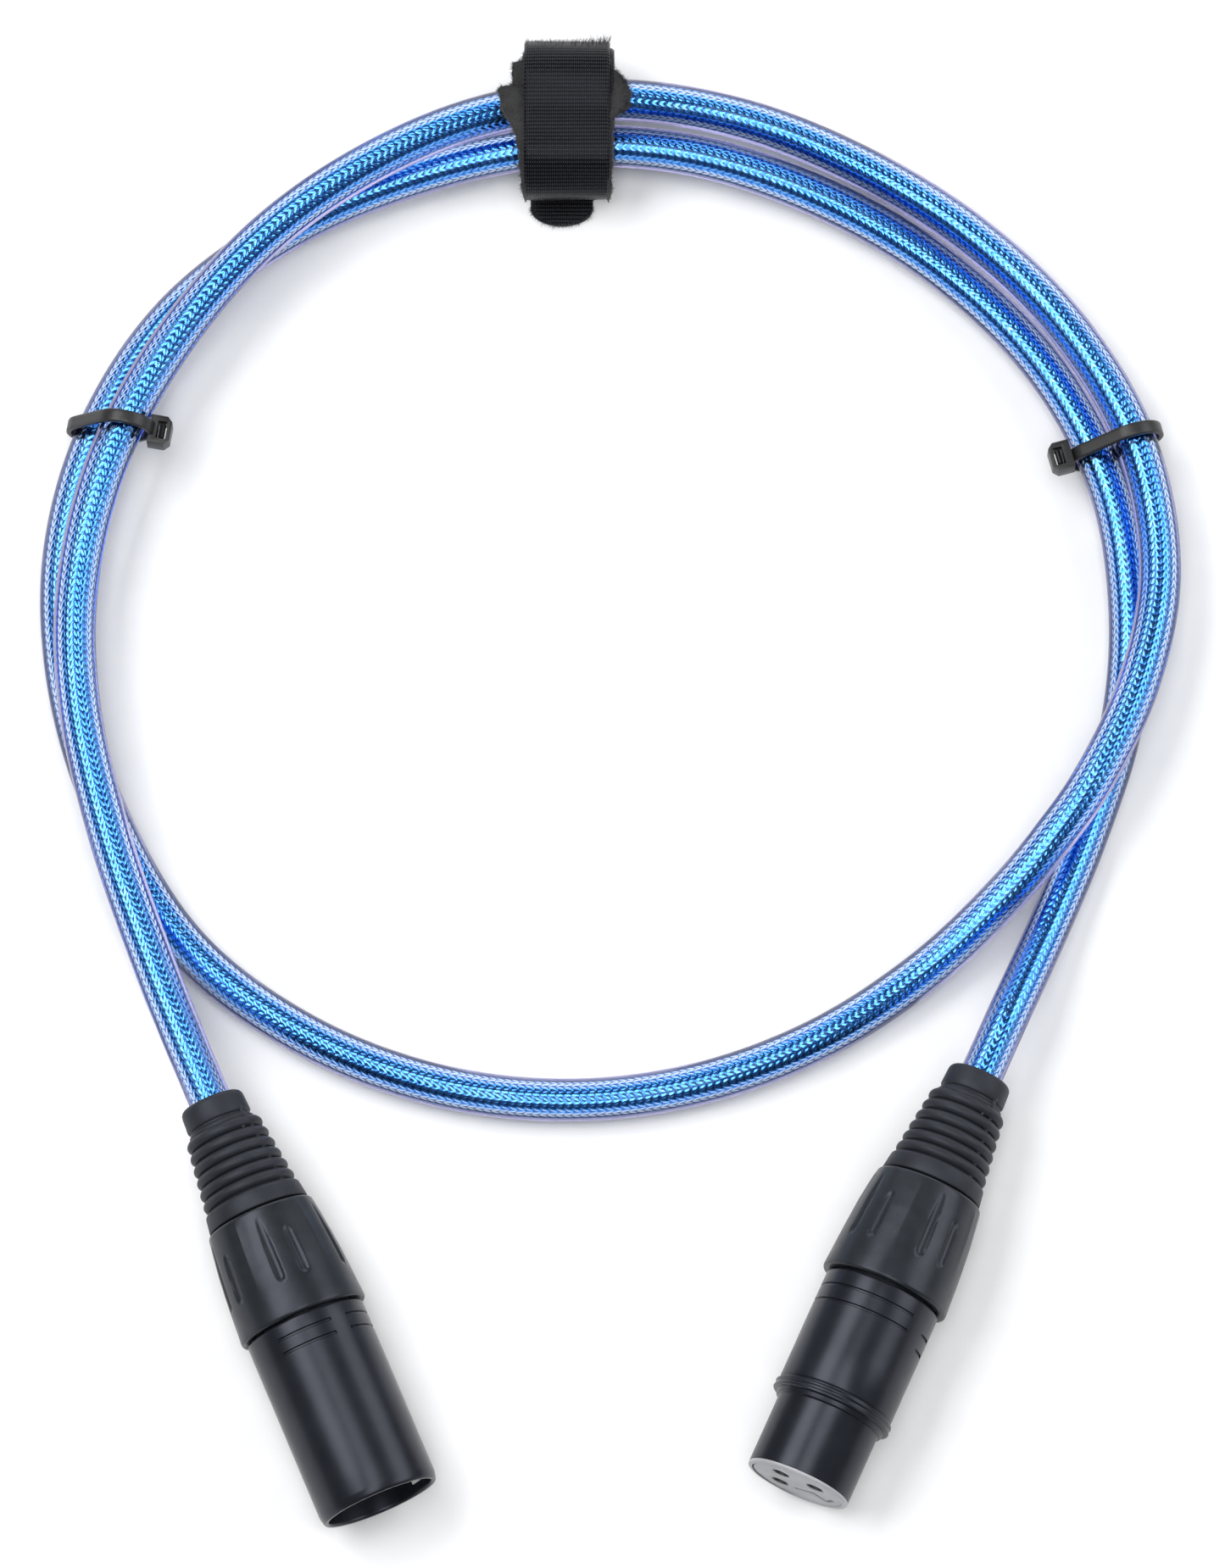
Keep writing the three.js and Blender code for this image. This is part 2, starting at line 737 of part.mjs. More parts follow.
// A point of the strap's winding: turns counts from the middle of the top, towards +Y first.
function strapPoint(turns, offset) {
  const { y: halfY, z: halfZ } = STRAP_HALF;
  const flat = halfY - halfZ;
  const quarter = ((turns % 1) + 1) % 1;
  const r = halfZ + offset;
  let y;
  let z;
  if (quarter < 0.15) {
    y = flat * (quarter / 0.15);
    z = r;
  } else if (quarter < 0.35) {
    const a = Math.PI / 2 - (Math.PI * (quarter - 0.15)) / 0.2;
    y = flat + r * Math.cos(a);
    z = r * Math.sin(a);
  } else if (quarter < 0.65) {
    y = flat * (1 - (quarter - 0.35) / 0.15);
    z = -r;
  } else if (quarter < 0.85) {
    const a = -Math.PI / 2 - (Math.PI * (quarter - 0.65)) / 0.2;
    y = -flat + r * Math.cos(a);
    z = r * Math.sin(a);
  } else {
    y = -flat * (1 - (quarter - 0.85) / 0.15);
    z = r;
  }
  return new THREE.Vector2(STRAP_CENTRE.y + y, STRAP_CENTRE.z + z);
}

// A length of tape on the winding, with an optional straight tail along the table.
function tape(name, from, to, tail) {
  const steps = Math.round((to - from) * 40);
  const near = [];
  const far = [];
  for (let i = 0; i <= steps; i++) {
    const turns = from + ((to - from) * i) / steps;
    near.push(strapPoint(turns, STRAP_PITCH * turns));
    far.push(strapPoint(turns, STRAP_PITCH * turns + STRAP_THICK));
  }
  if (tail > 0) {
    near.push(near[near.length - 1].clone().add(new THREE.Vector2(-tail, 0)));
    far.push(far[far.length - 1].clone().add(new THREE.Vector2(-tail, 0)));
  }
  const shape = new THREE.Shape([...near, ...far.reverse()]);
  const width = STRAP_X[1] - STRAP_X[0];
  const geometry = new THREE.ExtrudeGeometry(shape, { depth: width, bevelEnabled: false });
  geometry.applyMatrix4(AXIS_TO_PLATE);
  geometry.translate(STRAP_X[0], 0, 0);
  return piece(name, geometry, "strapNylon");
}

function strapLoopTape() {
  return tape("strap_loop_tape", -0.08, 0.6, 0);
}

// What is trimmed off the corners of the strap's end, to leave a round pull tab.
function tabTrim() {
  const { x, y, halfWide, long } = STRAP_TAB;
  const shape = new THREE.Shape();
  shape.moveTo(STRAP_X[0] - 1, y);
  for (let k = 0; k <= 16; k++) {
    const a = Math.PI + (Math.PI * k) / 16;
    shape.lineTo(x + halfWide * Math.cos(a), y + long * Math.sin(a));
  }
  shape.lineTo(STRAP_X[1] + 1, y);
  shape.lineTo(STRAP_X[1] + 1, y - 6);
  shape.lineTo(STRAP_X[0] - 1, y - 6);
  const trim = new THREE.ExtrudeGeometry(shape, { depth: 2, bevelEnabled: false });
  return trim.translate(0, 0, -1.1);
}

function strapHookTape() {
  const hook = tape("strap_hook_tape", 0.605, 1.6, STRAP_TAIL);
  hook.geometry = cut(hook.geometry, [tabTrim()]);
  return hook;
}

// ---------------------------------------------------------------- the whole object

function build() {
  const root = new THREE.Group();
  root.name = "xlr_cable_coil";
  root.add(maleConnector());
  root.add(femaleConnector());
  root.add(cable());
  root.add(tieLeft());
  root.add(tieRight());
  root.add(strapLoopTape());
  root.add(strapHookTape());
  return root;
}

export default build();
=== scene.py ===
"""Looks for a one metre XLR microphone cable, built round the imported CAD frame.

The frame is in metres with +Z up. The cable lies on z = 0 with both plugs towards -Y. Plugs, ties and
strap are shaped in millimetres and scaled by MM when their meshes are made.
"""

import math

import bpy
import numpy as np
from mathutils import Matrix, Vector


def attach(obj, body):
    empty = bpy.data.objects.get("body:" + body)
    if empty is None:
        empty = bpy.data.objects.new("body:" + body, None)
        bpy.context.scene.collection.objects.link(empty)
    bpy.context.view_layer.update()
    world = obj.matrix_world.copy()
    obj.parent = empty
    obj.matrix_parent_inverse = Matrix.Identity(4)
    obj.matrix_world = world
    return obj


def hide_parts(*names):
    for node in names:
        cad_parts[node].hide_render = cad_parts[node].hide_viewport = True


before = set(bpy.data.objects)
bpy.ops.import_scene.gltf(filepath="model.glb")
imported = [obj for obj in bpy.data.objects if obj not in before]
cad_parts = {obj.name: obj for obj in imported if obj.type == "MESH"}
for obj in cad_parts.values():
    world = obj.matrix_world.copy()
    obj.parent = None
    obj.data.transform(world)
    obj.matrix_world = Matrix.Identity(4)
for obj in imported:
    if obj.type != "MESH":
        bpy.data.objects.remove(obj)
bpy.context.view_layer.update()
MM = 0.001

# ------------------------ driving dimensions, in metres

CABLE_R = 3.3 * MM
BRAID_R = 1.88 * MM  # crest of the braid, seen enlarged through the clear jacket
BRAID_RELIEF = 0.14 * MM
BRAID_COLUMNS = 16
BRAID_PITCH = 1.2 * MM
BRAID_LEAN = 0.85  # how far a bead slants along the cable over its column, in pitches
BRAID_PARTS = 4
STEPS_PER_BEAD = 6
CABLE_INSIDE = 33 * MM  # how far the cable runs into each plug

# where each plug lies: the cable end of its boot in millimetres, its heading and its nose-up angle
MALE_PLACE = ((-61.2, -52.7, 10.9), 23, -1.3)
FEMALE_PLACE = ((56.2, -48.4, 9.4), -24, 1.0)

# centre line of the cable between the boots, in millimetres
ROUTE = [
    (-69.5, -32.5, 10.9), (-77.0, -11.0, 10.3), (-82.0, 10.5, 10.3), (-82.5, 29.0, 10.3),
    (-78.0, 49.0, 11.2), (-68.0, 68.5, 11.3), (-54.5, 85.0, 11.2), (-38.5, 97.0, 11.2),
    (-20.0, 105.5, 10.4), (0.0, 109.3, 7.2), (20.0, 107.0, 4.8), (38.5, 99.5, 4.2),
    (56.0, 87.5, 5.8), (70.5, 72.0, 7.9), (81.0, 53.0, 8.7), (84.5, 32.0, 9.2),
    (81.0, 13.5, 10.4), (73.5, -2.5, 10.4), (67.5, -11.0, 9.3), (60.5, -19.0, 6.6),
    (48.0, -30.5, 3.5), (31.5, -41.5, 3.4), (13.0, -48.5, 3.4), (-7.0, -51.0, 3.4),
    (-27.5, -48.5, 3.4), (-47.5, -40.5, 3.4), (-65.0, -27.0, 3.4), (-77.0, -7.5, 3.4),
    (-84.0, 14.5, 3.4), (-85.0, 36.0, 4.1), (-79.5, 56.5, 5.2), (-68.0, 75.0, 4.7),
    (-50.5, 89.0, 4.1), (-31.0, 97.5, 4.7), (-10.0, 102.0, 5.5), (11.5, 101.0, 5.2),
    (32.0, 94.5, 4.0), (51.0, 83.0, 3.8), (67.0, 66.5, 4.5), (77.0, 46.5, 5.1),
    (80.0, 27.0, 3.9), (78.5, 8.5, 3.4), (73.0, -9.0, 3.5), (66.5, -25.0, 5.2),
]


# ------------------------ camera

CAMERA_ELEVATION = math.radians(74.5)
CAMERA_DISTANCE = 1.5
CAMERA_LENS = 223  # millimetres, on a film 36 millimetres wide


def make_camera():
    data = bpy.data.cameras.new("camera")
    data.sensor_width = 36
    data.lens = CAMERA_LENS
    data.clip_start = 0.05
    data.clip_end = 50
    camera = bpy.data.objects.new("camera", data)
    bpy.context.scene.collection.objects.link(camera)
    heading = Vector((0, -math.cos(CAMERA_ELEVATION), math.sin(CAMERA_ELEVATION)))
    camera.location = heading * CAMERA_DISTANCE
    camera.rotation_mode = "QUATERNION"
    camera.rotation_quaternion = (-camera.location).to_track_quat("-Z", "Y")
    bpy.context.scene.camera = camera


make_camera()


# ------------------------ mesh helpers

def add_mesh(name, verts, faces, material=None, uvs=None, sharp=None):
    """A smooth object in the scene; edges steeper than sharp degrees stay crisp."""
    mesh = bpy.data.meshes.new(name)
    mesh.from_pydata(np.asarray(verts, float), [], faces)
    mesh.validate()
    if uvs is not None:
        layer = mesh.uv_layers.new(name="UVMap")
        layer.data.foreach_set("uv", np.asarray(uvs, np.float32).ravel())
    mesh.shade_smooth()
    if sharp is not None:
        mesh.set_sharp_from_angle(angle=math.radians(sharp))
    obj = bpy.data.objects.new(name, mesh)
    bpy.context.scene.collection.objects.link(obj)
    if material is not None:
        mesh.materials.append(material)
    return obj


def grid_quads(rows, cols, wrap_cols=True, wrap_rows=False):
    """Quads of a rows x cols grid of vertices, with its normals outward for a tube along the rows."""
    i = np.arange(rows if wrap_rows else rows - 1)
    j = np.arange(cols if wrap_cols else cols - 1)
    i, j = np.meshgrid(i, j, indexing="ij")
    i2 = (i + 1) % rows
    j2 = (j + 1) % cols
    return np.stack([i * cols + j, i * cols + j2, i2 * cols + j2, i2 * cols + j], -1).reshape(-1, 4)


def belongs(obj, matrix=None, body="cable_body"):
    """Puts a piece in its place on a body."""
    if matrix is not None:
        obj.matrix_world = matrix
    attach(obj, body)


def stands_for(obj, node, matrix=None, body="cable_body"):
    """The same for a piece that replaces a CAD node."""
    belongs(obj, matrix, body)
    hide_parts(node)


# ------------------------ cable path

def place_matrix(place):
    """Local +Y runs from the boot to the mating end, local +Z is the upper side."""
    at, yaw, pitch = place
    a, p = math.radians(yaw), math.radians(pitch)
    along = Vector((math.sin(a) * math.cos(p), -math.cos(a) * math.cos(p), math.sin(p)))
    across = along.cross(Vector((0, 0, 1))).normalized()
    upper = across.cross(along)
    m = Matrix((across, along, upper)).transposed().to_4x4()
    m.translation = Vector(at) * MM
    return m


MALE = place_matrix(MALE_PLACE)
FEMALE = place_matrix(FEMALE_PLACE)


def smooth_line(points, per_segment=40):
    """Centripetal Catmull-Rom line through the points."""
    p = np.array(points, float)
    p = np.vstack([2 * p[0] - p[1], p, 2 * p[-1] - p[-2]])
    out = []
    for k in range(1, len(p) - 2):
        x0, x1, x2, x3 = p[k - 1 : k + 3]
        d0, d1, d2 = [math.sqrt(np.linalg.norm(b - a)) for a, b in ((x0, x1), (x1, x2), (x2, x3))]
        t1 = ((x1 - x0) / d0 - (x2 - x0) / (d0 + d1) + (x2 - x1) / d1) * d1
        t2 = ((x2 - x1) / d1 - (x3 - x1) / (d1 + d2) + (x3 - x2) / d2) * d1
        s = np.linspace(0, 1, per_segment, endpoint=False)[:, None]
        out.append(
            x1 * (2 * s**3 - 3 * s**2 + 1)
            + t1 * (s**3 - 2 * s**2 + s)
            + x2 * (3 * s**2 - 2 * s**3)
            + t2 * (s**3 - s**2)
        )
    out.append(p[-2][None])
    return np.vstack(out)


def resample(line, step):
    """The line again, with points the same distance apart."""
    seg = np.linalg.norm(np.diff(line, axis=0), axis=1)
    s = np.concatenate([[0], np.cumsum(seg)])
    n = int(round(s[-1] / step))
    at = np.linspace(0, s[-1], n + 1)
    return np.stack([np.interp(at, s, line[:, k]) for k in range(3)], 1)


def frames(line):
    """Two unit vectors across the line at each point, turning as little as possible."""
    t = np.gradient(line, axis=0)
    t /= np.linalg.norm(t, axis=1)[:, None]
    n = np.zeros_like(line)
    first = np.cross(t[0], (0, 0, 1.0))
    n[0] = first / np.linalg.norm(first)
    for k in range(1, len(line)):
        v = n[k - 1] - t[k] * np.dot(n[k - 1], t[k])
        n[k] = v / np.linalg.norm(v)
    return n, np.cross(t, n)


def cable_line():
    def on(m, t):
        return tuple(m @ Vector((0, t * MM, 0)))

    inside = CABLE_INSIDE / MM
    start = [on(MALE, t) for t in (inside, 16, 0, -5, -10)]
    end = [on(FEMALE, t) for t in (-10, -5, 0, 16, inside)]
    middle = [tuple(c * MM for c in p) for p in ROUTE]
    return smooth_line(start + middle + end)


LINE = cable_line()

# ------------------------ materials

BLACK, WHITE = (0, 0, 0), (1, 1, 1)


def new_material(name, colour, rough, metal=0.0, **sockets):
    m = bpy.data.materials.new(name)
    m.use_nodes = True
    bsdf = m.node_tree.nodes["Principled BSDF"]
    bsdf.inputs["Base Color"].default_value = (*colour, 1)
    bsdf.inputs["Roughness"].default_value = rough
    bsdf.inputs["Metallic"].default_value = metal
    for key, value in sockets.items():
        bsdf.inputs[key.replace("_", " ")].default_value = value
    return m


def link_noise(m, scale, detail=3.0):
    """A noise texture in object space, in cycles per metre."""
    nodes, links = m.node_tree.nodes, m.node_tree.links
    coords = nodes.new("ShaderNodeTexCoord")
    noise = nodes.new("ShaderNodeTexNoise")
    noise.inputs["Scale"].default_value = scale
    noise.inputs["Detail"].default_value = detail
    links.new(coords.outputs["Object"], noise.inputs["Vector"])
    return noise.outputs["Fac"]


def ramp(m, socket, stops):
    """A colour ramp on a socket; stops are (place, colour)."""
    node = m.node_tree.nodes.new("ShaderNodeValToRGB")
    elements = node.color_ramp.elements
    while len(elements) < len(stops):
        elements.new(0.5)
    for element, (at, colour) in zip(elements, stops):
        element.position = at
        element.color = (*colour, 1)
    m.node_tree.links.new(socket, node.inputs["Fac"])
    return node.outputs["Color"]


def mix_colour(m, factor, a, b):
    """Blend of two colours; a and b are sockets or plain colours."""
    node = m.node_tree.nodes.new("ShaderNodeMix")
    node.data_type = "RGBA"
    m.node_tree.links.new(factor, node.inputs["Factor"])
    for name, value in (("A", a), ("B", b)):
        if isinstance(value, tuple):
            node.inputs[name].default_value = (*value, 1)
        else:
            m.node_tree.links.new(value, node.inputs[name])
    return node.outputs["Result"]


def multiply(m, a, b):
    node = m.node_tree.nodes.new("ShaderNodeMath")
    node.operation = "MULTIPLY"
    m.node_tree.links.new(a, node.inputs[0])
    m.node_tree.links.new(b, node.inputs[1])
    return node.outputs["Value"]


def facing_ramp(m, stops):
    """A ramp over how far a surface is seen edge on, from 0 square on to 1 edge on."""
    edge = m.node_tree.nodes.new("ShaderNodeLayerWeight")
    edge.inputs["Blend"].default_value = 0.5
    return ramp(m, edge.outputs["Facing"], stops)


def drive(m, name, socket):
    """Links a socket to an input of the material's shader."""
    m.node_tree.links.new(socket, m.node_tree.nodes["Principled BSDF"].inputs[name])


def add_bump(m, height, distance):
    node = m.node_tree.nodes.new("ShaderNodeBump")
    node.inputs["Distance"].default_value = distance
    node.inputs["Strength"].default_value = 1.0
    m.node_tree.links.new(height, node.inputs["Height"])
    drive(m, "Normal", node.outputs["Normal"])


def moulded(name, dark, light, rough, grain, grain_depth, speckle=0.0, **sockets):
    """Moulded or painted surface: slow colour drift, patchy gloss, fine grain and a few dust specks."""
    m = new_material(name, dark, rough[0], **sockets)
    tint = ramp(m, link_noise(m, 160, 4), [(0.35, dark), (0.7, light)])
    gloss = m.node_tree.nodes.new("ShaderNodeMapRange")
    gloss.inputs["To Min"].default_value = rough[0]
    gloss.inputs["To Max"].default_value = rough[1]
    m.node_tree.links.new(link_noise(m, 420, 5), gloss.inputs["Value"])
    drive(m, "Roughness", gloss.outputs["Result"])
    add_bump(m, link_noise(m, grain, 2), grain_depth)
    if speckle:
        spots = ramp(m, link_noise(m, 900, 1), [(0.775, BLACK), (0.80, WHITE)])
        tint = mix_colour(m, spots, tint, (speckle, speckle, speckle))
    drive(m, "Base Color", tint)
    return m


def jacket_material():
    """Clear plastic with painted rim shade: purplish grey, then darker violet, where it is seen edge on."""
    clear, painted_rim_mauve, painted_rim_shade = (0.88, 0.93, 1.0), (0.15, 0.13, 0.36), (0.07, 0.055, 0.18)
    m = new_material(
        "clear_jacket", clear, 0.0, Transmission_Weight=1.0, IOR=1.5, Specular_Tint=(0.25, 0.45, 0.7, 1)
    )
    # painted shade: the base colour darkens to violet towards the jacket's silhouette
    drive(m, "Base Color", facing_ramp(m, [(0.36, clear), (0.5, painted_rim_mauve), (0.75, painted_rim_shade)]))
    return m


def braid_material():
    """Blue metal wire, with painted shade between the beads and a painted whitish reflection on beads that
    are seen edge on.
    """
    dull, blue, bright = (0.07, 0.29, 0.80), (0.11, 0.39, 0.92), (0.2, 0.52, 0.97)
    between, painted_edge_reflection = (0.03, 0.13, 0.46), (0.85, 0.9, 0.95)
    m = new_material("blue_braid", blue, 0.17, 1.0)
    tint = ramp(m, link_noise(m, 700, 2), [(0.3, dull), (0.55, blue), (0.8, bright)])
    crown = m.node_tree.nodes.new("ShaderNodeAttribute")
    crown.attribute_name = "crown"
    top = ramp(m, crown.outputs["Fac"], [(0.55, BLACK), (0.8, WHITE)])
    # painted reflection: bead crests seen edge on are coloured whitish, like the bright floor mirrored in
    # them
    edge = facing_ramp(m, [(0.24, BLACK), (0.36, WHITE), (0.5, WHITE), (0.62, (0.1, 0.1, 0.1))])
    # painted shade: low parts of the relief, between bead crowns, are coloured deep blue
    wire = mix_colour(m, top, between, tint)
    drive(m, "Base Color", mix_colour(m, multiply(m, edge, top), wire, painted_edge_reflection))
    return m


COOL_SHEEN = {"Specular_IOR_Level": 0.36, "Specular_Tint": (0.8, 0.83, 1, 1)}
SOFT_SHEEN = {**COOL_SHEEN, "Specular_IOR_Level": 0.35}
RUBBER = moulded("boot_rubber", (0.011, 0.012, 0.015), (0.017, 0.019, 0.023), (0.44, 0.6),
                 5200, 0.014 * MM, speckle=0.12, **SOFT_SHEEN)
NUT_PLASTIC = moulded("nut_plastic", (0.008, 0.010, 0.012), (0.016, 0.019, 0.021), (0.24, 0.44),
                      3600, 0.010 * MM, speckle=0.08, **COOL_SHEEN)
SHELL_PAINT = moulded("shell_paint", (0.007, 0.008, 0.011), (0.011, 0.013, 0.017), (0.26, 0.34),
                      9000, 0.005 * MM, **COOL_SHEEN)
NOSE_GREY = moulded("insert_grey", (0.31, 0.31, 0.33), (0.39, 0.39, 0.41), (0.38, 0.5),
                    5000, 0.006 * MM)
INSERT_BLACK = moulded("insert_black", (0.016, 0.016, 0.017), (0.024, 0.024, 0.025), (0.4, 0.55),
                       5000, 0.006 * MM)
COLLET = moulded("collet_nylon", (0.60, 0.58, 0.52), (0.70, 0.68, 0.62), (0.4, 0.55), 4000, 0.006 * MM)
CORE_RED = moulded("core_red", (0.42, 0.03, 0.035), (0.50, 0.045, 0.05), (0.35, 0.5), 3000, 0.004 * MM)
CORE_WHITE = moulded("core_white", (0.70, 0.69, 0.66), (0.78, 0.77, 0.74), (0.35, 0.5), 3000, 0.004 * MM)
NICKEL = moulded("bright_nickel", (0.74, 0.73, 0.70), (0.80, 0.79, 0.77), (0.16, 0.28), 2500,
                 0.002 * MM, Metallic=1.0)
STEEL = moulded("spring_steel", (0.52, 0.52, 0.53), (0.60, 0.60, 0.61), (0.25, 0.4), 2500,
                0.003 * MM, Metallic=1.0)
COPPER = moulded("screen_copper", (0.70, 0.36, 0.22), (0.78, 0.45, 0.30), (0.3, 0.45), 6000,
                 0.02 * MM, Metallic=1.0)
ZINC = moulded("bright_zinc", (0.66, 0.69, 0.67), (0.76, 0.78, 0.76), (0.3, 0.45), 2000, 0.004 * MM)
TIE_NYLON = moulded("tie_nylon", (0.013, 0.013, 0.014), (0.020, 0.020, 0.021), (0.30, 0.46),
                    3000, 0.008 * MM, speckle=0.08, Specular_IOR_Level=0.36)


THREAD_WIDTH = 0.34  # millimetres between the strap's warp threads
THREAD_RISE = 0.62  # millimetres between its weft threads


def webbing_material():
    """Black woven nylon with a painted light glint, a short dash, at each crossing of warp and weft threads.
    """
    m = moulded("webbing", (0.002, 0.002, 0.003), (0.004, 0.004, 0.006), (0.26, 0.34), 4000,
                0.01 * MM, Specular_IOR_Level=0.13, Specular_Tint=(0.85, 0.9, 1, 1))
    uv = m.node_tree.nodes.new("ShaderNodeUVMap")
    waves = []
    for direction, period in (("X", THREAD_WIDTH), ("Y", THREAD_RISE)):
        wave = m.node_tree.nodes.new("ShaderNodeTexWave")
        wave.bands_direction = direction
        wave.inputs["Scale"].default_value = 0.3142 / period  # at scale 1 a wave is pi / 10 long
        wave.inputs["Distortion"].default_value = 0.6
        wave.inputs["Detail Scale"].default_value = 3
        m.node_tree.links.new(uv.outputs["UV"], wave.inputs["Vector"])
        waves.append(wave.outputs["Fac"])
    weave = multiply(m, *waves)
    # painted highlight: the crossing points of the weave are coloured lighter, like glints on thread crowns
    painted_thread_glint = ramp(m, weave, [(0.5, (0.003, 0.003, 0.004)), (0.85, (0.045, 0.046, 0.055))])
    drive(m, "Base Color", painted_thread_glint)
    add_bump(m, weave, 0.08 * MM)
    return m


WEBBING = webbing_material()
FIBRE = moulded("nylon_fibre", (0.012, 0.012, 0.014), (0.15, 0.145, 0.145), (0.4, 0.6), 3000, 0.004 * MM)
PILE = moulded("loop_pile", (0.006, 0.006, 0.007), (0.02, 0.02, 0.022), (0.7, 0.9), 2600, 0.15 * MM,
               Sheen_Weight=0.2)


# ------------------------ cable

def rings_round(line, angles, radius):
    """Vertices round each point of a line; radius is one number or one for each vertex."""
    n, b = frames(line)
    ring = np.cos(angles)[None, :, None] * n[:, None] + np.sin(angles)[None, :, None] * b[:, None]
    return (line[:, None] + radius * ring).reshape(-1, 3)


def tube(name, line, radius, sides, material):
    verts = rings_round(line, np.linspace(0, 2 * np.pi, sides, endpoint=False), radius)
    faces = grid_quads(len(line), sides).tolist()
    last = (len(line) - 1) * sides
    faces.append(list(range(sides))[::-1])
    faces.append([last + k for k in range(sides)])
    return add_mesh(name, verts, faces, material, sharp=40)


def braid_height(u, v):
    """Relief of a herringbone braid: u counts columns round the cable, v counts beads along it."""
    column = np.floor(u)
    side = np.where(column % 2 == 0, 1.0, -1.0)
    x = u - column - 0.5
    phase = (v + side * BRAID_LEAN * x) % 1.0
    bead = 1 - 0.8 * np.abs(2 * phase - 1) ** 5
    return bead * (1 - 0.4 * np.abs(2 * x) ** 4)


def braid(name, line, first, material):
    """A stretch of the braid; first is the number of steps before it, so that the beads run on."""
    stops = np.array([0.02, 0.27, 0.5, 0.73, 0.98])  # vertices across a column
    u = (np.arange(BRAID_COLUMNS)[:, None] + stops[None]).ravel()
    v = (first + np.arange(len(line))) / STEPS_PER_BEAD
    height = braid_height(u[None], v[:, None])
    radius = BRAID_R - BRAID_RELIEF * (1 - height)
    verts = rings_round(line, 2 * np.pi * u / BRAID_COLUMNS, radius[:, :, None])
    piece = add_mesh(name, verts, grid_quads(len(line), len(u)), material)
    crown = piece.data.attributes.new("crown", "FLOAT", "POINT")
    crown.data.foreach_set("value", height.ravel().astype(np.float32))
    return piece


def make_cable():
    line = resample(LINE, BRAID_PITCH / STEPS_PER_BEAD)
    smooth = resample(LINE, 1.2 * MM)
    jacket = tube("cable_jacket", smooth, CABLE_R, 40, jacket_material())
    shiny = braid_material()
    parts = []
    size = math.ceil((len(line) - 1) / BRAID_PARTS)
    for k in range(BRAID_PARTS):
        first = k * size
        stretch = line[first : first + size + 1]
        parts.append(braid("cable_braid_%d" % (k + 1), stretch, first, shiny))
    for piece in [jacket, *parts]:
        belongs(piece)
    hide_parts("cable")


make_cable()

# ------------------------ shaping helpers, in local millimetres

CONTACT_CIRCLE = 3.9  # radius of the circle of pins and sockets


def outward(degrees):
    """Direction round a plug's axis: 0 is its upper side, clockwise when facing the mating end."""
    a = math.radians(degrees)
    return np.array((-math.sin(a), 0.0, math.cos(a)))


def soften(outline, radius):
    """A closed outline with its corners rounded, each by at most the radius."""
    p = np.array(outline, float)
    out = []
    for k in range(len(p)):
        here, back, ahead = p[k], p[k - 1] - p[k], p[(k + 1) % len(p)] - p[k]
        lb, la = np.linalg.norm(back), np.linalg.norm(ahead)
        turn = math.degrees(math.acos(np.clip(-np.dot(back, ahead) / (lb * la), -1, 1)))
        if turn < 14:
            out.append(here)
            continue
        cut = min(radius, 0.42 * lb, 0.42 * la)
        a, b = here + back / lb * cut, here + ahead / la * cut
        for s in (0, 0.33, 0.67, 1):
            out.append(a * (1 - s) ** 2 + here * 2 * s * (1 - s) + b * s * s)
    return np.array(out)


def divide(outline, step, low, high):
    """More points on the long sides of a closed outline, where its distance is from low to high."""
    out = []
    for k in range(len(outline)):
        a, b = outline[k], outline[(k + 1) % len(outline)]
        n = 1
        if low <= min(a[1], b[1]) and max(a[1], b[1]) <= high:
            n = max(1, int(round(np.linalg.norm(b - a) / step)))
        for j in range(n):
            out.append(a + (b - a) * j / n)
    return np.array(out)


def face_outward(verts, faces):
    """The faces, all turned over if they enclose a negative volume."""
    v = np.asarray(verts)
    f = np.asarray(faces)
    a, b, c, d = (v[f[:, k]] for k in range(4))
    volume = (a * np.cross(b, c)).sum() + (a * np.cross(c, d)).sum()
    return f if volume > 0 else f[:, ::-1]


def turned(name, outline, sides, material, shape=None, extra=(), sharp=50):
    """Revolves a closed outline of radius and distance round the local Y axis.

    shape(radius, distance, degrees) may change the radii; extra holds more angles for its details.
    """
    degrees = np.unique(np.round(np.concatenate([np.arange(sides) * 360 / sides - 180, extra]), 3))
    r, t, deg = np.broadcast_arrays(outline[:, 0, None], outline[:, 1, None], degrees[None])
    if shape is not None:
        r = shape(r, t, deg)
    a = np.radians(deg)
    verts = np.stack([-r * np.sin(a), t, r * np.cos(a)], -1).reshape(-1, 3) * MM
    faces = face_outward(verts, grid_quads(len(outline), len(degrees), True, True))
    return add_mesh(name, verts, faces, material, sharp=sharp)


def swept_block(outline, low, high, axes):
    """Vertices and faces of a flat outline made solid along the third of three axes."""
    p = np.array(outline, float)
    u, v, w = np.array(axes, float)
    rings = [p[:, :1] * u + p[:, 1:] * v + w * depth for depth in (low, high)]
    n = len(p)
    faces = [[k, (k + 1) % n, n + (k + 1) % n, n + k] for k in range(n)]
    faces += [list(range(n))[::-1], list(range(n, 2 * n))]
    area = p[:, 0] * np.roll(p[:, 1], -1) - np.roll(p[:, 0], -1) * p[:, 1]
    if area.sum() * np.dot(np.cross(u, v), w) < 0:
        faces = [f[::-1] for f in faces]
    return np.vstack(rings) * MM, faces


def block(name, outline, low, high, axes, material=None):
    verts, faces = swept_block(outline, low, high, axes)
    return add_mesh(name, verts, faces, material)


def radial_plate(name, degrees, outline, across, material=None):
    """A plate standing at an angle round the axis; its outline is in distance and radius."""
    out = outward(degrees)
    side = np.cross((0, 1, 0), out)
    return block(name, outline, -across / 2, across / 2, ((0, 1, 0), out, side), material)


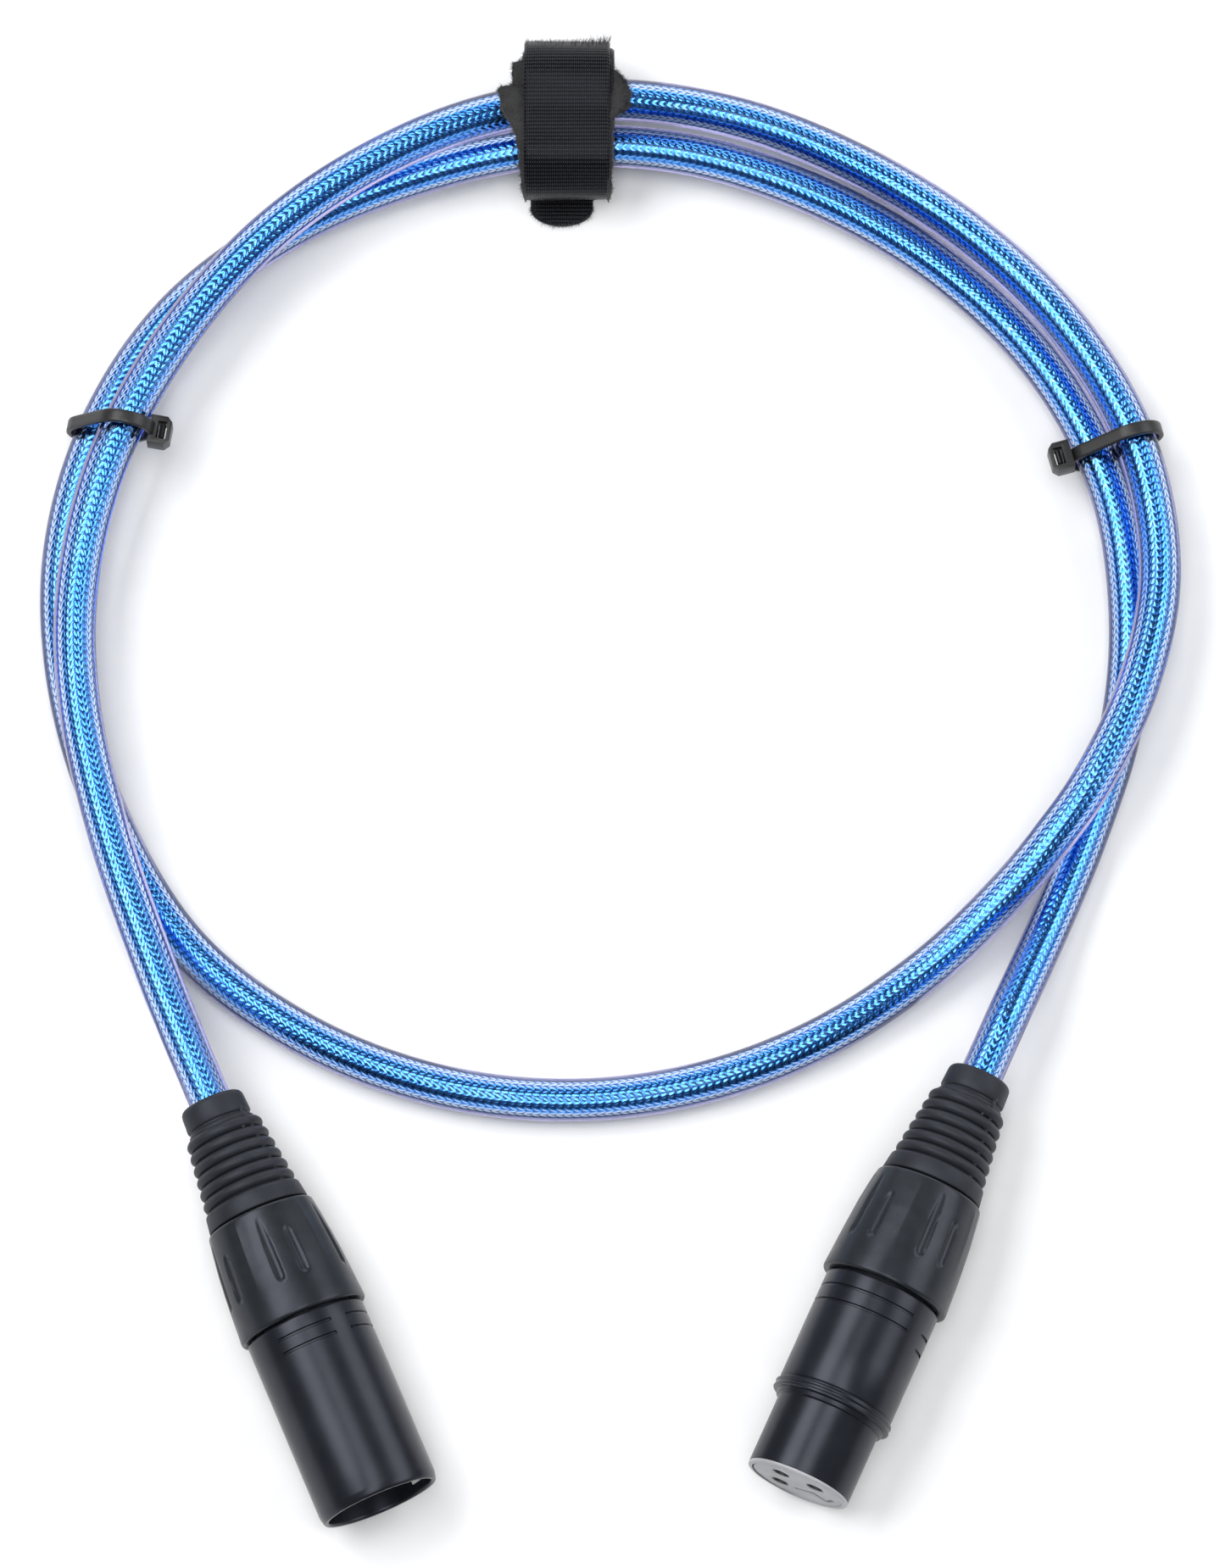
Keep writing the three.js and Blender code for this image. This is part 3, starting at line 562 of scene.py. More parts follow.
def radial_box(name, degrees, across, t, r, material=None):
    """A box standing at an angle round the axis, from t[0] to t[1] along it and r[0] to r[1] from it."""
    corners = [(t[0], r[0]), (t[1], r[0]), (t[1], r[1]), (t[0], r[1])]
    return radial_plate(name, degrees, corners, across, material)


def end_block(name, degrees, outline, low, high, material=None):
    """A block along the axis; its outline lies across the plug, with its second value outwards."""
    out = outward(degrees)
    return block(name, outline, low, high, (np.cross((0, 1, 0), out), out, (0, 1, 0)), material)


def round_bar(name, x, z, radius, t0, t1, sides=28, material=None):
    a = np.linspace(0, 2 * np.pi, sides, endpoint=False)
    ring = np.stack([x + radius * np.cos(a), z + radius * np.sin(a)], 1)
    return block(name, ring, t0, t1, ((1, 0, 0), (0, 0, 1), (0, 1, 0)), material)


def carve(obj, tools, operation="DIFFERENCE", bevel=0.0, segments=2, sharp=35):
    """Cuts the tools out of a piece, or joins them to it, then breaks the edges."""
    for tool in tools:
        m = obj.modifiers.new("carve", "BOOLEAN")
        m.operation = operation
        m.object = tool
        m.solver = "EXACT"
    if bevel:
        m = obj.modifiers.new("edges", "BEVEL")
        m.width = bevel * MM
        m.segments = segments
        m.limit_method = "ANGLE"
        m.angle_limit = math.radians(40)
    bpy.context.view_layer.update()
    solid = bpy.data.meshes.new_from_object(obj.evaluated_get(bpy.context.evaluated_depsgraph_get()))
    obj.modifiers.clear()
    old = obj.data
    obj.data = solid
    bpy.data.meshes.remove(old)
    for tool in tools:
        bpy.data.objects.remove(tool)
    obj.data.shade_smooth()
    obj.data.set_sharp_from_angle(angle=math.radians(sharp))


def contact_places(corner):
    """Where the three contacts stand: a right angle apart, the first at a corner angle."""
    return [outward(corner + step) * CONTACT_CIRCLE for step in (0, 90, -90)]


def make_contacts(name, outline, corner, matrix, material, node=None):
    """The same turned piece at each contact's place; contacts are numbered from the third."""
    for k, at in enumerate(contact_places(corner)):
        piece = turned("%s_%d" % (name, 3 - k), np.array(outline), 36, material)
        belongs(piece, matrix @ Matrix.Translation(Vector(at) * MM))
        if node is not None:
            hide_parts("%s_%d" % (node, 3 - k))


# ------------------------ boots and back nuts

SEAM = 48  # degrees, where the boot's moulding seam stands
SEAM_ANGLES = SEAM + np.array([-8, -4.6, -3.9, -3.4, -2.4, -1.2, -0.6, 0, 0.6, 1.2, 2.4, 3.4, 3.9, 4.6, 8])


def boot_outline():
    """Radius and distance along the boot: plain collar, six ribs that grow, base collar and foot."""
    points = [(3.7, 0.5), (4.5, 0.5), (4.72, 0.65), (4.95, 1.0), (5.02, 1.5), (5.08, 2.7), (5.13, 3.8),
              (5.02, 4.02), (4.82, 4.12), (4.82, 4.4), (5.05, 4.62), (5.2, 4.78)]
    for i in range(6):
        start, crest = 5.12 + 1.9 * i, 5.98 + 0.25 * i
        for s in (0, 0.05, 0.13, 0.24, 0.36, 0.5, 0.64, 0.76, 0.87, 0.95):
            bulge = math.sin(math.pi * s) ** 0.55 if s else 0
            points.append((crest - 0.82 + 0.86 * bulge + 0.2 * s, start + 1.9 * s))
    points += [(6.75, 16.52), (6.85, 16.7), (7.42, 16.88), (7.6, 17.1), (7.68, 17.5), (7.97, 19.45),
               (7.9, 19.65), (7.7, 19.7), (6.6, 19.7), (6.6, 22.2), (7.25, 22.2), (7.25, 23.5), (3.7, 23.5)]
    return np.array(points)


def boot_shape(r, t, deg):
    """The seam: a low ridge over the ribs and a fine line across the base collar."""
    off = np.abs(deg - SEAM)
    ridge = np.interp(t, (3.8, 5.1, 16.9), (5.05, 5.5, 6.95)) - 0.12 * (off / 3.4) ** 2
    on_ribs = (t > 3.8) & (t < 16.8) & (off < 3.6) & (r > 4)
    r = np.where(on_ribs, np.maximum(r, ridge), r)
    line = (t > 17.0) & (t < 19.6) & (off < 0.7) & (r > 7)
    return np.where(line, r - 0.09, r)


def make_boot(prefix, matrix):
    boot = turned(prefix + "_boot_skin", boot_outline(), 120, RUBBER, boot_shape, SEAM_ANGLES, 62)
    stands_for(boot, prefix + "_boot", matrix, prefix + "_boot_body")


FLUTE_PITCH = 72  # degrees from one pair of flutes to the next
FLUTE_SPREAD = 11.75  # degrees from the middle of a pair to each of its flutes
FLUTE_R = 1.05
FLUTE_STARTS = (22.0, 25.0)  # of the long and the short flute
FLUTE_END = 31.4


def nut_shape(first):
    """Five pairs of round-ended finger flutes, a long and a short one, with a faint ridge between pairs."""
    def shape(r, t, deg):
        half_pitch = FLUTE_PITCH / 2
        off = (deg - first + half_pitch) % FLUTE_PITCH - half_pitch
        a = np.radians(np.abs(off) - FLUTE_SPREAD)
        start = np.where(off < 0, *FLUTE_STARTS)
        beyond = np.maximum(np.maximum(start - t, t - FLUTE_END), 0)
        half = np.sqrt(np.clip(FLUTE_R**2 - beyond**2, 0, None))
        centre = 9.98 + (t - 26) * (0.75 / 9.2)  # the flutes' axes follow the nut's taper
        inside = half**2 - (centre * np.sin(a)) ** 2
        cut = centre * np.cos(a) - np.sqrt(np.clip(inside, 0, None))
        fade = np.clip((t - 20.4) / 1.2, 0, 1) * np.clip((32.5 - t) / 7, 0, 1)
        crease = 0.13 * np.clip(1 - (half_pitch - np.abs(off)) / 9, 0, 1) ** 2 * fade
        outer = (r > 8.0) & (t > 20)
        r = np.where(outer, r + crease, r)
        return np.where((inside > 0) & outer & (t < 33.5), np.minimum(r, cut), r)
    return shape


def make_nut(prefix, matrix, first):
    outline = soften(
        [(6.9, 20.0), (8.2, 20.0), (8.45, 20.3), (8.85, 23.1), (9.25, 26.2), (9.55, 29.4), (9.78, 32.6),
         (9.92, 35.1), (10.05, 36.8), (10.05, 37.2), (9.85, 37.5), (8.7, 37.5), (8.7, 29.5), (7.6, 29.5),
         (7.6, 21.9), (6.9, 21.9)], 0.22)
    outline = divide(outline, 0.28, 20.0, 33.8)
    nut = turned(prefix + "_nut_barrel", outline, 320, NUT_PLASTIC, nut_shape(first), (), 32)
    stands_for(nut, prefix + "_nut", matrix, prefix + "_nut_body")


# ------------------------ shells, inserts and contacts

RING_HALF = 0.26
RING_WALL = 0.12
RING_DEPTH = 0.28


def ringed(radius, rings, gaps):
    """Engraved rings at the rear of a shell, left out over the gaps."""
    def shape(r, t, deg):
        engraved = np.ones_like(deg, bool)
        for low, high in gaps:
            engraved &= (deg < low) | (deg > high)
        depth = np.zeros_like(t)
        for at in rings:
            wall = np.clip((RING_HALF - np.abs(t - at)) / RING_WALL, 0, 1)
            depth = np.maximum(depth, wall * RING_DEPTH)
        return np.where((r > radius - 0.05) & engraved, r - depth, r)
    return shape


def make_shell(name, radius, rear, rings, gaps, front):
    """A turned shell: rear seat, plain barrel with engraved rings, then the outline of its front."""
    across = [(radius, at + d) for at in rings for d in (-0.27, -0.2, -0.13, 0, 0.13, 0.2, 0.27)]
    angles = [edge + d for gap in gaps for edge in gap for d in (-0.5, 0, 0.5)]
    seat = [(7.6, 30.0), (8.3, 30.0), (8.3, 37.8), *rear, (radius, 38.2)]
    outline = np.array(seat + across + front)
    return turned(name, outline, 144, SHELL_PAINT, ringed(radius, rings, gaps), angles, 40)


MALE_R = 9.36
MALE_BORE = 8.3
MALE_CORNER = -154  # angle of the male plug's first pin


def make_male_shell():
    r, bore = MALE_R, MALE_BORE
    rear = [(9.1, 37.8), (9.25, 37.86), (9.34, 38.0)]
    front = [(r, 46), (r, 52), (r, 58), (r, 62), (r, 66.0), (9.33, 66.3), (9.2, 66.9), (9.1, 67.2),
             (8.95, 67.38), (8.62, 67.4), (8.45, 67.33), (8.33, 67.15),
             (bore, 66.9), (bore, 45.5), (7.6, 45.5)]
    shell = make_shell("male_shell_body", r, rear, (40.1, 42.3), [(-100, -34), (22, 38)], front)
    latch_notch = radial_box("tool", 26, 3.0, (56.4, 59.4), (7.0, 8.95))
    carve(shell, [latch_notch])
    stands_for(shell, "male_shell", MALE)


def make_male_strips():
    """The key bar in the bore, and the bright leaf that lies on the bore's wall."""
    key = radial_box("male_key_bar", 54, 2.3, (53.1, 66.7), (6.95, 7.95), NICKEL)
    carve(key, [], bevel=0.28, segments=3)
    stands_for(key, "male_key_strip", MALE)
    arc = np.radians(np.linspace(-15, 15, 13))
    outer, inner = MALE_BORE - 0.02, MALE_BORE - 0.2
    outline = [(outer * math.sin(a), outer * math.cos(a)) for a in arc]
    outline += [(inner * math.sin(a), inner * math.cos(a)) for a in arc[::-1]]
    leaf = end_block("male_earth_leaf", 119, outline, 53.5, 65.8, ZINC)
    belongs(leaf, MALE)


def make_male_insert():
    insert = round_bar("male_insert_block", 0, 0, 8.0, 45.8, 52.8, 96, INSERT_BLACK)
    holes = [round_bar("tool", p[0], p[2], 1.5, 45, 54) for p in contact_places(MALE_CORNER)]
    carve(insert, holes, bevel=0.15)
    stands_for(insert, "male_insert", MALE)
    pin = [(0.004, 44.6), (0.85, 44.6), (0.85, 42.4), (1.1, 42.4), (1.2, 42.55), (1.2, 63.2), (1.15, 63.6),
           (1.0, 64.0), (0.75, 64.25), (0.4, 64.38), (0.004, 64.4)]
    make_contacts("male_pin_post", pin, MALE_CORNER, MALE, NICKEL, "male_pin")


FEMALE_R = 9.1
NOSE_R = 8.1
FEMALE_CORNER = -45  # angle of the female plug's first socket
LATCH_AT = 135  # angle of the latch, on the side that lies on the table
FACE = 69.9  # where the insert ends
FACE_STEP = [(-2.15, 1.9), (1.2, 2.45), (1.33, 5.5), (3.6, 4.6)]  # stepped groove in the insert's end
STEP_HALF = 0.33


def make_female_shell():
    r = FEMALE_R
    rear = [(8.85, 37.8), (9.0, 37.86), (9.08, 38.0)]
    flange = [(9.06, 55.62), (8.88, 55.76), (8.85, 55.84), (8.85, 56.02), (8.9, 56.1), (9.3, 56.16),
              (9.42, 56.26), (9.45, 56.4), (9.42, 56.54), (9.28, 56.66), (9.25, 56.74), (9.25, 57.0),
              (9.28, 57.08), (9.42, 57.2), (9.45, 57.33), (9.4, 57.48), (9.27, 57.57), (9.1, 57.6)]
    nose = [(8.72, 57.6), (8.66, 57.7), (8.6, 58.2), (8.5, 58.36), (8.16, 58.46), (NOSE_R, 58.6),
            (NOSE_R, 69.3), (8.07, 69.38), (7.97, 69.4), (7.6, 69.4), (7.5, 69.35), (7.5, 50.7), (7.6, 50.7)]
    front = [(r, 46), (r, 50), (r, 55.5), *flange, *nose]
    shell = make_shell("female_shell_body", r, rear, (40.5, 43.0), [(42.5, 118)], front)
    marks = [radial_box("tool", 74, 3.6, (t - 0.24, t + 0.24), (8.75, 11)) for t in (42.1, 44.6)]
    button_slot = radial_box("tool", LATCH_AT, 5.0, (45.1, 53.5), (6.5, 11))
    tooth_slot = radial_box("tool", LATCH_AT, 2.6, (60.6, 64.0), (6.5, 9))
    key_slot = radial_box("tool", 107, 3.0, (59.2, 71), (6.9, 9))
    carve(shell, [*marks, button_slot, tooth_slot, key_slot])
    stands_for(shell, "female_shell", FEMALE)


def make_female_insert():
    insert = round_bar("female_insert_block", 0, 0, 7.2, 48.4, FACE, 96, NOSE_GREY)
    tools = [radial_box("tool", LATCH_AT, 3.4, (48, 65.2), (4.4, 8))]
    for a, b in zip(np.array(FACE_STEP), np.array(FACE_STEP[1:])):
        along = (b - a) / np.linalg.norm(b - a)
        off = np.array((-along[1], along[0])) * STEP_HALF
        a, b = a - along * 0.15, b + along * 0.15
        tools.append(end_block("tool", LATCH_AT, [a - off, b - off, b + off, a + off], FACE - 1.2, 71))
    for p in contact_places(FEMALE_CORNER):
        tools.append(round_bar("tool", p[0], p[2], 1.95, 48, 68.9))
        tools.append(round_bar("tool", p[0], p[2], 1.4, 68.5, 71))
    carve(insert, tools, bevel=0.1)
    stands_for(insert, "female_insert", FEMALE)


def wide_at_left(r, t, deg):
    """Opens the gap between the insert and its rim along one side of the face."""
    turn = (deg + 180) % 360 - 180
    return np.where((r < 7.4) & (turn > -176) & (turn < -72), 7.6, r)


def make_female_face():
    """The light rim round the insert, the black sleeves in its holes, and the sockets behind them."""
    rim = [(7.24, 69.45), (7.7, 69.42), (8.05, 69.45), (8.09, 69.55), (8.07, 69.82), (7.95, 69.97),
           (7.8, 70.02), (7.4, 70.02), (7.28, 69.98), (7.24, 69.9)]
    rim = turned("female_face_rim", np.array(rim), 144, NOSE_GREY, wide_at_left)
    belongs(rim, FEMALE)
    sleeve = [(1.12, 66.0), (1.38, 66.0), (1.38, 69.74), (1.32, 69.8), (1.16, 69.8), (1.12, 69.74)]
    make_contacts("female_hole_sleeve", sleeve, FEMALE_CORNER, FEMALE, INSERT_BLACK)
    socket = [(1.25, 68.4), (1.25, 52.0), (0.01, 51.6), (0.01, 47.2), (0.85, 47.2), (0.85, 45.0), (1.3, 45.0),
              (1.3, 48.6), (1.65, 48.8), (1.65, 68.4), (1.55, 68.6), (1.35, 68.6)]
    make_contacts("female_socket", socket, FEMALE_CORNER, FEMALE, NICKEL,
                  "female_contact")


def make_latch():
    latch = radial_box("female_latch_lever", LATCH_AT, 2.6, (45.6, 64.3), (5.7, 6.75), SHELL_PAINT)
    tooth = [(61.0, 6.6), (63.6, 6.6), (63.6, 7.5), (61.8, 8.75), (61.0, 8.75)]
    parts = [radial_box("tool", LATCH_AT, 2.6, (46.0, 52.9), (6.6, 8.0)),
             radial_box("tool", LATCH_AT, 4.4, (45.4, 53.2), (7.8, 9.5)),
             radial_plate("tool", LATCH_AT, tooth, 2.0)]
    for i in range(4):  # grip ridges on the button
        start = 46.6 + 1.6 * i
        parts.append(radial_box("tool", LATCH_AT, 3.6, (start, start + 0.6), (9.3, 9.75)))
    carve(latch, parts, "UNION", bevel=0.14)
    stands_for(latch, "female_latch", FEMALE, "latch_body")


# ------------------------ cable ties

def belt_stations(centres, step, radius):
    """Stations about a step apart on a belt round equal circles: each one's centre and direction."""
    count = int(round(2 * math.pi * radius / step))
    rows = []
    last = None
    for i in range(count + 1):
        a = 2 * math.pi * i / count
        d = np.array((math.cos(a), math.sin(a)))
        best = max(range(len(centres)), key=lambda k: float(np.dot(centres[k], d)))
        here = np.array(centres[best], float)
        if last is not None and best != last[0]:
            n = max(2, int(np.linalg.norm(here - last[1]) / step))
            rows += [(last[1] + (here - last[1]) * j / n, d) for j in range(1, n)]
        if i < count:
            rows.append((here, d))
        last = (best, here)
    return rows


TIE_STEP = 0.16
TOOTH_PITCH = 0.85
TOOTH_HEIGHT = 0.13


def make_tie(node, at, yaw, strands, head):
    """A nylon tie round two strands: toothed band with rounded edges, head with a window, and its pawl."""
    turn = Matrix.Translation(Vector((*at, 0)) * MM) @ Matrix.Rotation(math.radians(yaw), 4, "Z")
    inner = CABLE_R / MM + 0.55
    rows = belt_stations(strands, TIE_STEP, inner)
    section = [(0, -0.8), (0, 0.8), (0.06, 0.94), (0.2, 1.04), (0.7, 1.04), (0.84, 0.96), (0.9, 0.83),
               (0.9, 0.4), (0.9, -0.4), (0.9, -0.83), (0.84, -0.96), (0.7, -1.04), (0.2, -1.04),
               (0.06, -0.94)]
    verts, run, back = [], 0.0, None
    for centre, d in rows:
        here = centre + d * inner
        run += 0 if back is None else float(np.linalg.norm(here - back))
        back = here
        tooth = TOOTH_HEIGHT * abs((run / TOOTH_PITCH) % 1 - 0.5) * 2
        for k, (rise, w) in enumerate(section):
            p = centre + d * (inner + rise + (tooth if k in (0, 1) else 0))
            verts.append((p[0], w, p[1]))
    verts = np.array(verts) * MM
    faces = face_outward(verts, grid_quads(len(rows), len(section), True, True))
    band = add_mesh(node + "_band", verts, faces, TIE_NYLON, sharp=60)
    long, high, wide, corner = 1.7, 1.7, 2.25, 0.8  # half sizes of the head, and its cut corners
    out = 1 if head[0] > 0 else -1
    x, z = head
    plan = [(x - out * long, -wide), (x + out * (long - corner), -wide), (x + out * long, corner - wide),
            (x + out * long, wide - corner), (x + out * (long - corner), wide), (x - out * long, wide)]
    axes = ((1, 0, 0), (0, 1, 0), (0, 0, 1))
    box = block(node + "_head", plan, z - high, z + high, axes, TIE_NYLON)
    wx = x + 0.3 * out
    window = [(wx - 0.75, -1.4), (wx + 0.75, -1.4), (wx + 0.75, 1.4), (wx - 0.75, 1.4)]
    carve(box, [block("tool", window, z - 3, z + 3, axes)], bevel=0.32, segments=3)
    tongue = [(wx - 0.72 * out, z - 1.5), (wx - 0.1 * out, z - 1.35), (wx + 0.35 * out, z - 0.3),
              (wx + 0.5 * out, z + 0.9), (wx + 0.1 * out, z + 1.25), (wx - 0.45 * out, z + 0.7)]
    pawl = block(node + "_pawl", tongue, -1.1, 1.1, ((1, 0, 0), (0, 0, 1), (0, -1, 0)), TIE_NYLON)
    carve(pawl, [], bevel=0.12)
    for piece in (band, box, pawl):
        belongs(piece, turn)
    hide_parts(node)


# ------------------------ hook-and-loop strap

STRAP_X = (-13.8, -0.4)  # its two edges
STRAP_THICK = 0.7
STRAP_MID = (105.3, 7.95)  # middle of the winding, as Y and Z
STRAP_HALF = (11.1, 5.6)  # half length and half height of its first layer
STRAP_FLAT = STRAP_HALF[0] - STRAP_HALF[1]
STRAP_TOP_R = 7.3  # radius of the outer layer where it bends down
STRAP_TAIL = 11.0
TAB_X = -7.95  # middle of the rounded tab at the strap's end
TAPE_LANES = 61
BULGE_SIDES = 24
BULGE_FIBRES = 1900
FOLD_FIBRES = 620
TAB_FIBRES = 260


def strap_point(turns, offset):
    """Y and Z of the strap's winding; turns counts from the middle of the top, towards +Y first.

    One turn is 0.15 of flat top, 0.2 of bend, 0.3 of flat underside, 0.2 of bend and 0.15 of top.
    """
    flat = STRAP_FLAT
    q = turns % 1
    r = STRAP_HALF[1] + offset
    if q < 0.15:
        y, z = flat * q / 0.15, r
    elif q < 0.35:
        a = math.pi / 2 - math.pi * (q - 0.15) / 0.2
        y, z = flat + r * math.cos(a), r * math.sin(a)
    elif q < 0.65:
        y, z = flat * (1 - (q - 0.35) / 0.15), -r
    elif q < 0.85:
        a = -math.pi / 2 - math.pi * (q - 0.65) / 0.2
        y, z = -flat + r * math.cos(a), r * math.sin(a)
    else:
        y, z = -flat * (1 - (q - 0.85) / 0.15), r
    return np.array((STRAP_MID[0] + y, STRAP_MID[1] + z))


def strap_line(first, last, tail):
    """Middle line of a tape as Y, Z points a fixed step apart, and its outward normals."""
    turns = np.linspace(first, last, 900)
    line = np.array([strap_point(q, q + STRAP_THICK / 2) for q in turns])
    if tail:
        line = np.vstack([line, line[-1] + np.outer(np.linspace(0.02, 1, 200), (-tail, 0))])
    over = np.clip((line[:, 1] - 9) / 4, 0, 1)  # the upper layers wave a little
    line[:, 1] += over * 0.35 * np.sin(2 * np.pi * (line[:, 0] - 108.4) / 13.4)
    seg = np.linalg.norm(np.diff(line, axis=0), axis=1)
    s = np.concatenate([[0], np.cumsum(seg)])
    at = np.arange(0, s[-1], 0.11)
    line = np.stack([np.interp(at, s, line[:, k]) for k in range(2)], 1)
    for _ in range(14):
        line[1:-1] = 0.25 * line[:-2] + 0.5 * line[1:-1] + 0.25 * line[2:]
    t = np.gradient(line, axis=0)
    t /= np.linalg.norm(t, axis=1)[:, None]
    return at, line, np.stack([-t[:, 1], t[:, 0]], 1)


def make_tape(name, node, first, last, tail, shift, tab=False):
    """A woven tape with rounded selvedges; shift is how far it lies off to the side over the top."""
    s, line, normal = strap_line(first, last, tail)
    cols = np.linspace(-1, 1, TAPE_LANES)
    mid, half = sum(STRAP_X) / 2, (STRAP_X[1] - STRAP_X[0]) / 2
    width = np.full(len(s), half)
    centre = mid + shift * np.clip((line[:, 1] - 5) / 6, 0, 1)
    if tab:  # the end is narrower and has a round tip
        to_end = s[-1] - s
        narrow = np.clip((5.4 - to_end) / 1.2, 0, 1)
        tip = 4.9 * np.sqrt(np.clip(1 - (1 - np.clip(to_end / 3.2, 0, 1)) ** 2.4, 0.02, 1))
        width = width * (1 - narrow) + tip * narrow
        centre = centre + narrow * (TAB_X - mid)
    x = centre[:, None] + width[:, None] * cols[None]
    weft = 2 * np.pi * s[:, None] / THREAD_RISE + (np.arange(TAPE_LANES) % 2)[None] * 0.5 * np.pi
    crown = np.sqrt(np.clip(1 - np.abs(cols) ** 14, 0, 1))[None]
    edge = np.exp(-(((np.abs(cols) - 0.93) / 0.03) ** 2))[None] * 0.05
    cup = 0.06 * np.sin(s[:, None] / 4.3 + 2.0 * cols[None]) + 0.04 * np.sin(s[:, None] / 1.9)
    ripple = 0.10 * np.sin(s[:, None] / 0.99 + 0.5 * cols[None])
    upper = crown * (STRAP_THICK / 2 + 0.02 * np.sin(weft) + edge + ripple) + cup
    lower = crown * (0.02 * np.sin(weft) - STRAP_THICK / 2) + cup
    rise = np.concatenate([upper, lower[:, -2:0:-1]], 1)
    across = np.concatenate([x, x[:, -2:0:-1]], 1)
    y = line[:, :1] + normal[:, :1] * rise
    z = line[:, 1:] + normal[:, 1:] * rise
    rows, around = rise.shape
    verts = np.stack([across, y, z], -1).reshape(-1, 3) * MM
    loose = grid_quads(rows, around)
    quads = face_outward(verts, loose)
    flip = (quads[0] != loose[0]).any()
    caps = []
    for base, back in ((0, True), ((rows - 1) * around, False)):
        for k in range(TAPE_LANES - 1):
            ring = (k, k + 1, around - k - 1, around - k)
            face = list(dict.fromkeys(base + v % around for v in ring))
            caps.append(face[::-1] if back != flip else face)
    faces = quads.tolist() + caps
    uv = np.stack([across, np.broadcast_to(s[:, None], across.shape)], -1).reshape(-1, 2)
    loops = np.concatenate([np.asarray(f) for f in faces])
    tape = add_mesh(name, verts, faces, WEBBING, uvs=uv[loops], sharp=70)
    stands_for(tape, node)
    return tape, float(s[-1])


def fibres(name, roots, ways, lengths, radius, seed):
    """Many short bent fibres in one mesh, each with three sides and four rings."""
    rng = np.random.default_rng(seed)
    roots, ways = np.asarray(roots, float), np.asarray(ways, float)
    ways = ways / np.linalg.norm(ways, axis=1)[:, None]
    bend = rng.normal(0, 0.45, roots.shape)
    side = np.cross(ways, rng.normal(0, 1, roots.shape))
    side /= np.linalg.norm(side, axis=1)[:, None]
    other = np.cross(ways, side)
    verts = []
    for at, thin in ((-0.15, 1), (0.35, 1), (0.7, 0.85), (1.0, 0.35)):
        middle = roots + (ways * at + bend * at * abs(at)) * lengths[:, None]
        for k in range(3):
            a = 2 * math.pi * k / 3
            verts.append(middle + (side * math.cos(a) + other * math.sin(a)) * radius * thin)
    verts = np.stack(verts, 1).reshape(-1, 3) * MM
    single = grid_quads(4, 3).tolist() + [[2, 1, 0], [9, 10, 11]]
    faces = [[12 * i + v for v in f] for i in range(len(roots)) for f in single]
    obj = add_mesh(name, verts, faces, FIBRE)
    belongs(obj)
    return obj


def strap_top(y):
    """Height of the strap's outer layer above the table, seen from above."""
    beyond = np.clip(np.abs(y - STRAP_MID[0]) - STRAP_FLAT, 0, STRAP_TOP_R)
    return STRAP_MID[1] + np.sqrt(STRAP_TOP_R**2 - beyond**2)


def squared(wave):
    """A sine or cosine pushed out towards its ends, for a squarer section."""
    return np.sign(wave) * np.abs(wave) ** 0.55


def make_bulge(name, edge, side, table, seed):
    """Fuzzy loop side that swells out between the layers at one edge; table is how far, along Y."""
    table = np.array(table, float)
    y = np.arange(table[0, 0], table[-1, 0], 0.2)
    swell = np.interp(y, table[:, 0], table[:, 1])
    swell = swell + 0.08 * np.sin(y * 2.1) + 0.06 * np.sin(y * 4.7 + 1)
    ends = np.clip(np.minimum(y - y[0], y[-1] - y) / 0.4, 0.02, 1) ** 0.5
    a = np.linspace(0, 2 * np.pi, BULGE_SIDES, endpoint=False)
    half_x = (swell / 2 + 0.35) * ends
    half_z = 0.5 * ends
    mid_x = edge + side * (swell / 2 - 0.35)
    mid_z = strap_top(y) - 1.15 - 0.12 * swell
    lump = 1 + 0.04 * np.sin(7 * a[None] + y[:, None] * 1.7)
    x = mid_x[:, None] + half_x[:, None] * squared(np.cos(a))[None] * lump
    z = mid_z[:, None] + half_z[:, None] * squared(np.sin(a))[None] * lump
    verts = np.stack([x, np.broadcast_to(y[:, None], x.shape), z], -1).reshape(-1, 3) * MM
    loose = grid_quads(len(y), BULGE_SIDES)
    body = face_outward(verts, loose)
    flip = (body[0] != loose[0]).any()
    last = (len(y) - 1) * BULGE_SIDES
    caps = [list(range(BULGE_SIDES))[::-1], [last + k for k in range(BULGE_SIDES)]]
    caps = [c[::-1] for c in caps] if flip else caps
    pad = add_mesh(name, verts, body.tolist() + caps, PILE, sharp=80)
    belongs(pad)
    rng = np.random.default_rng(seed)
    n = BULGE_FIBRES
    weight = swell + 0.3 + 2.5 * np.abs(np.gradient(swell, y))
    pick = rng.choice(len(y), n, p=weight / weight.sum())
    angle = rng.uniform(-0.3 * np.pi, 0.8 * np.pi, n)
    slope = np.gradient(swell, y)[pick]
    out = np.stack([side * (np.cos(angle) + 0.25), rng.normal(0, 0.25, n) - slope * 0.5, np.sin(angle)], 1)
    roots = np.stack([mid_x[pick] + side * half_x[pick] * squared(np.cos(angle)),
                      y[pick] + rng.uniform(-0.2, 0.2, n),
                      mid_z[pick] + half_z[pick] * squared(np.sin(angle))], 1)
    hair = fibres(name + "_fibres", roots, out, rng.uniform(0.12, 0.42, n), 0.026, seed + 2)
    return [pad, hair]


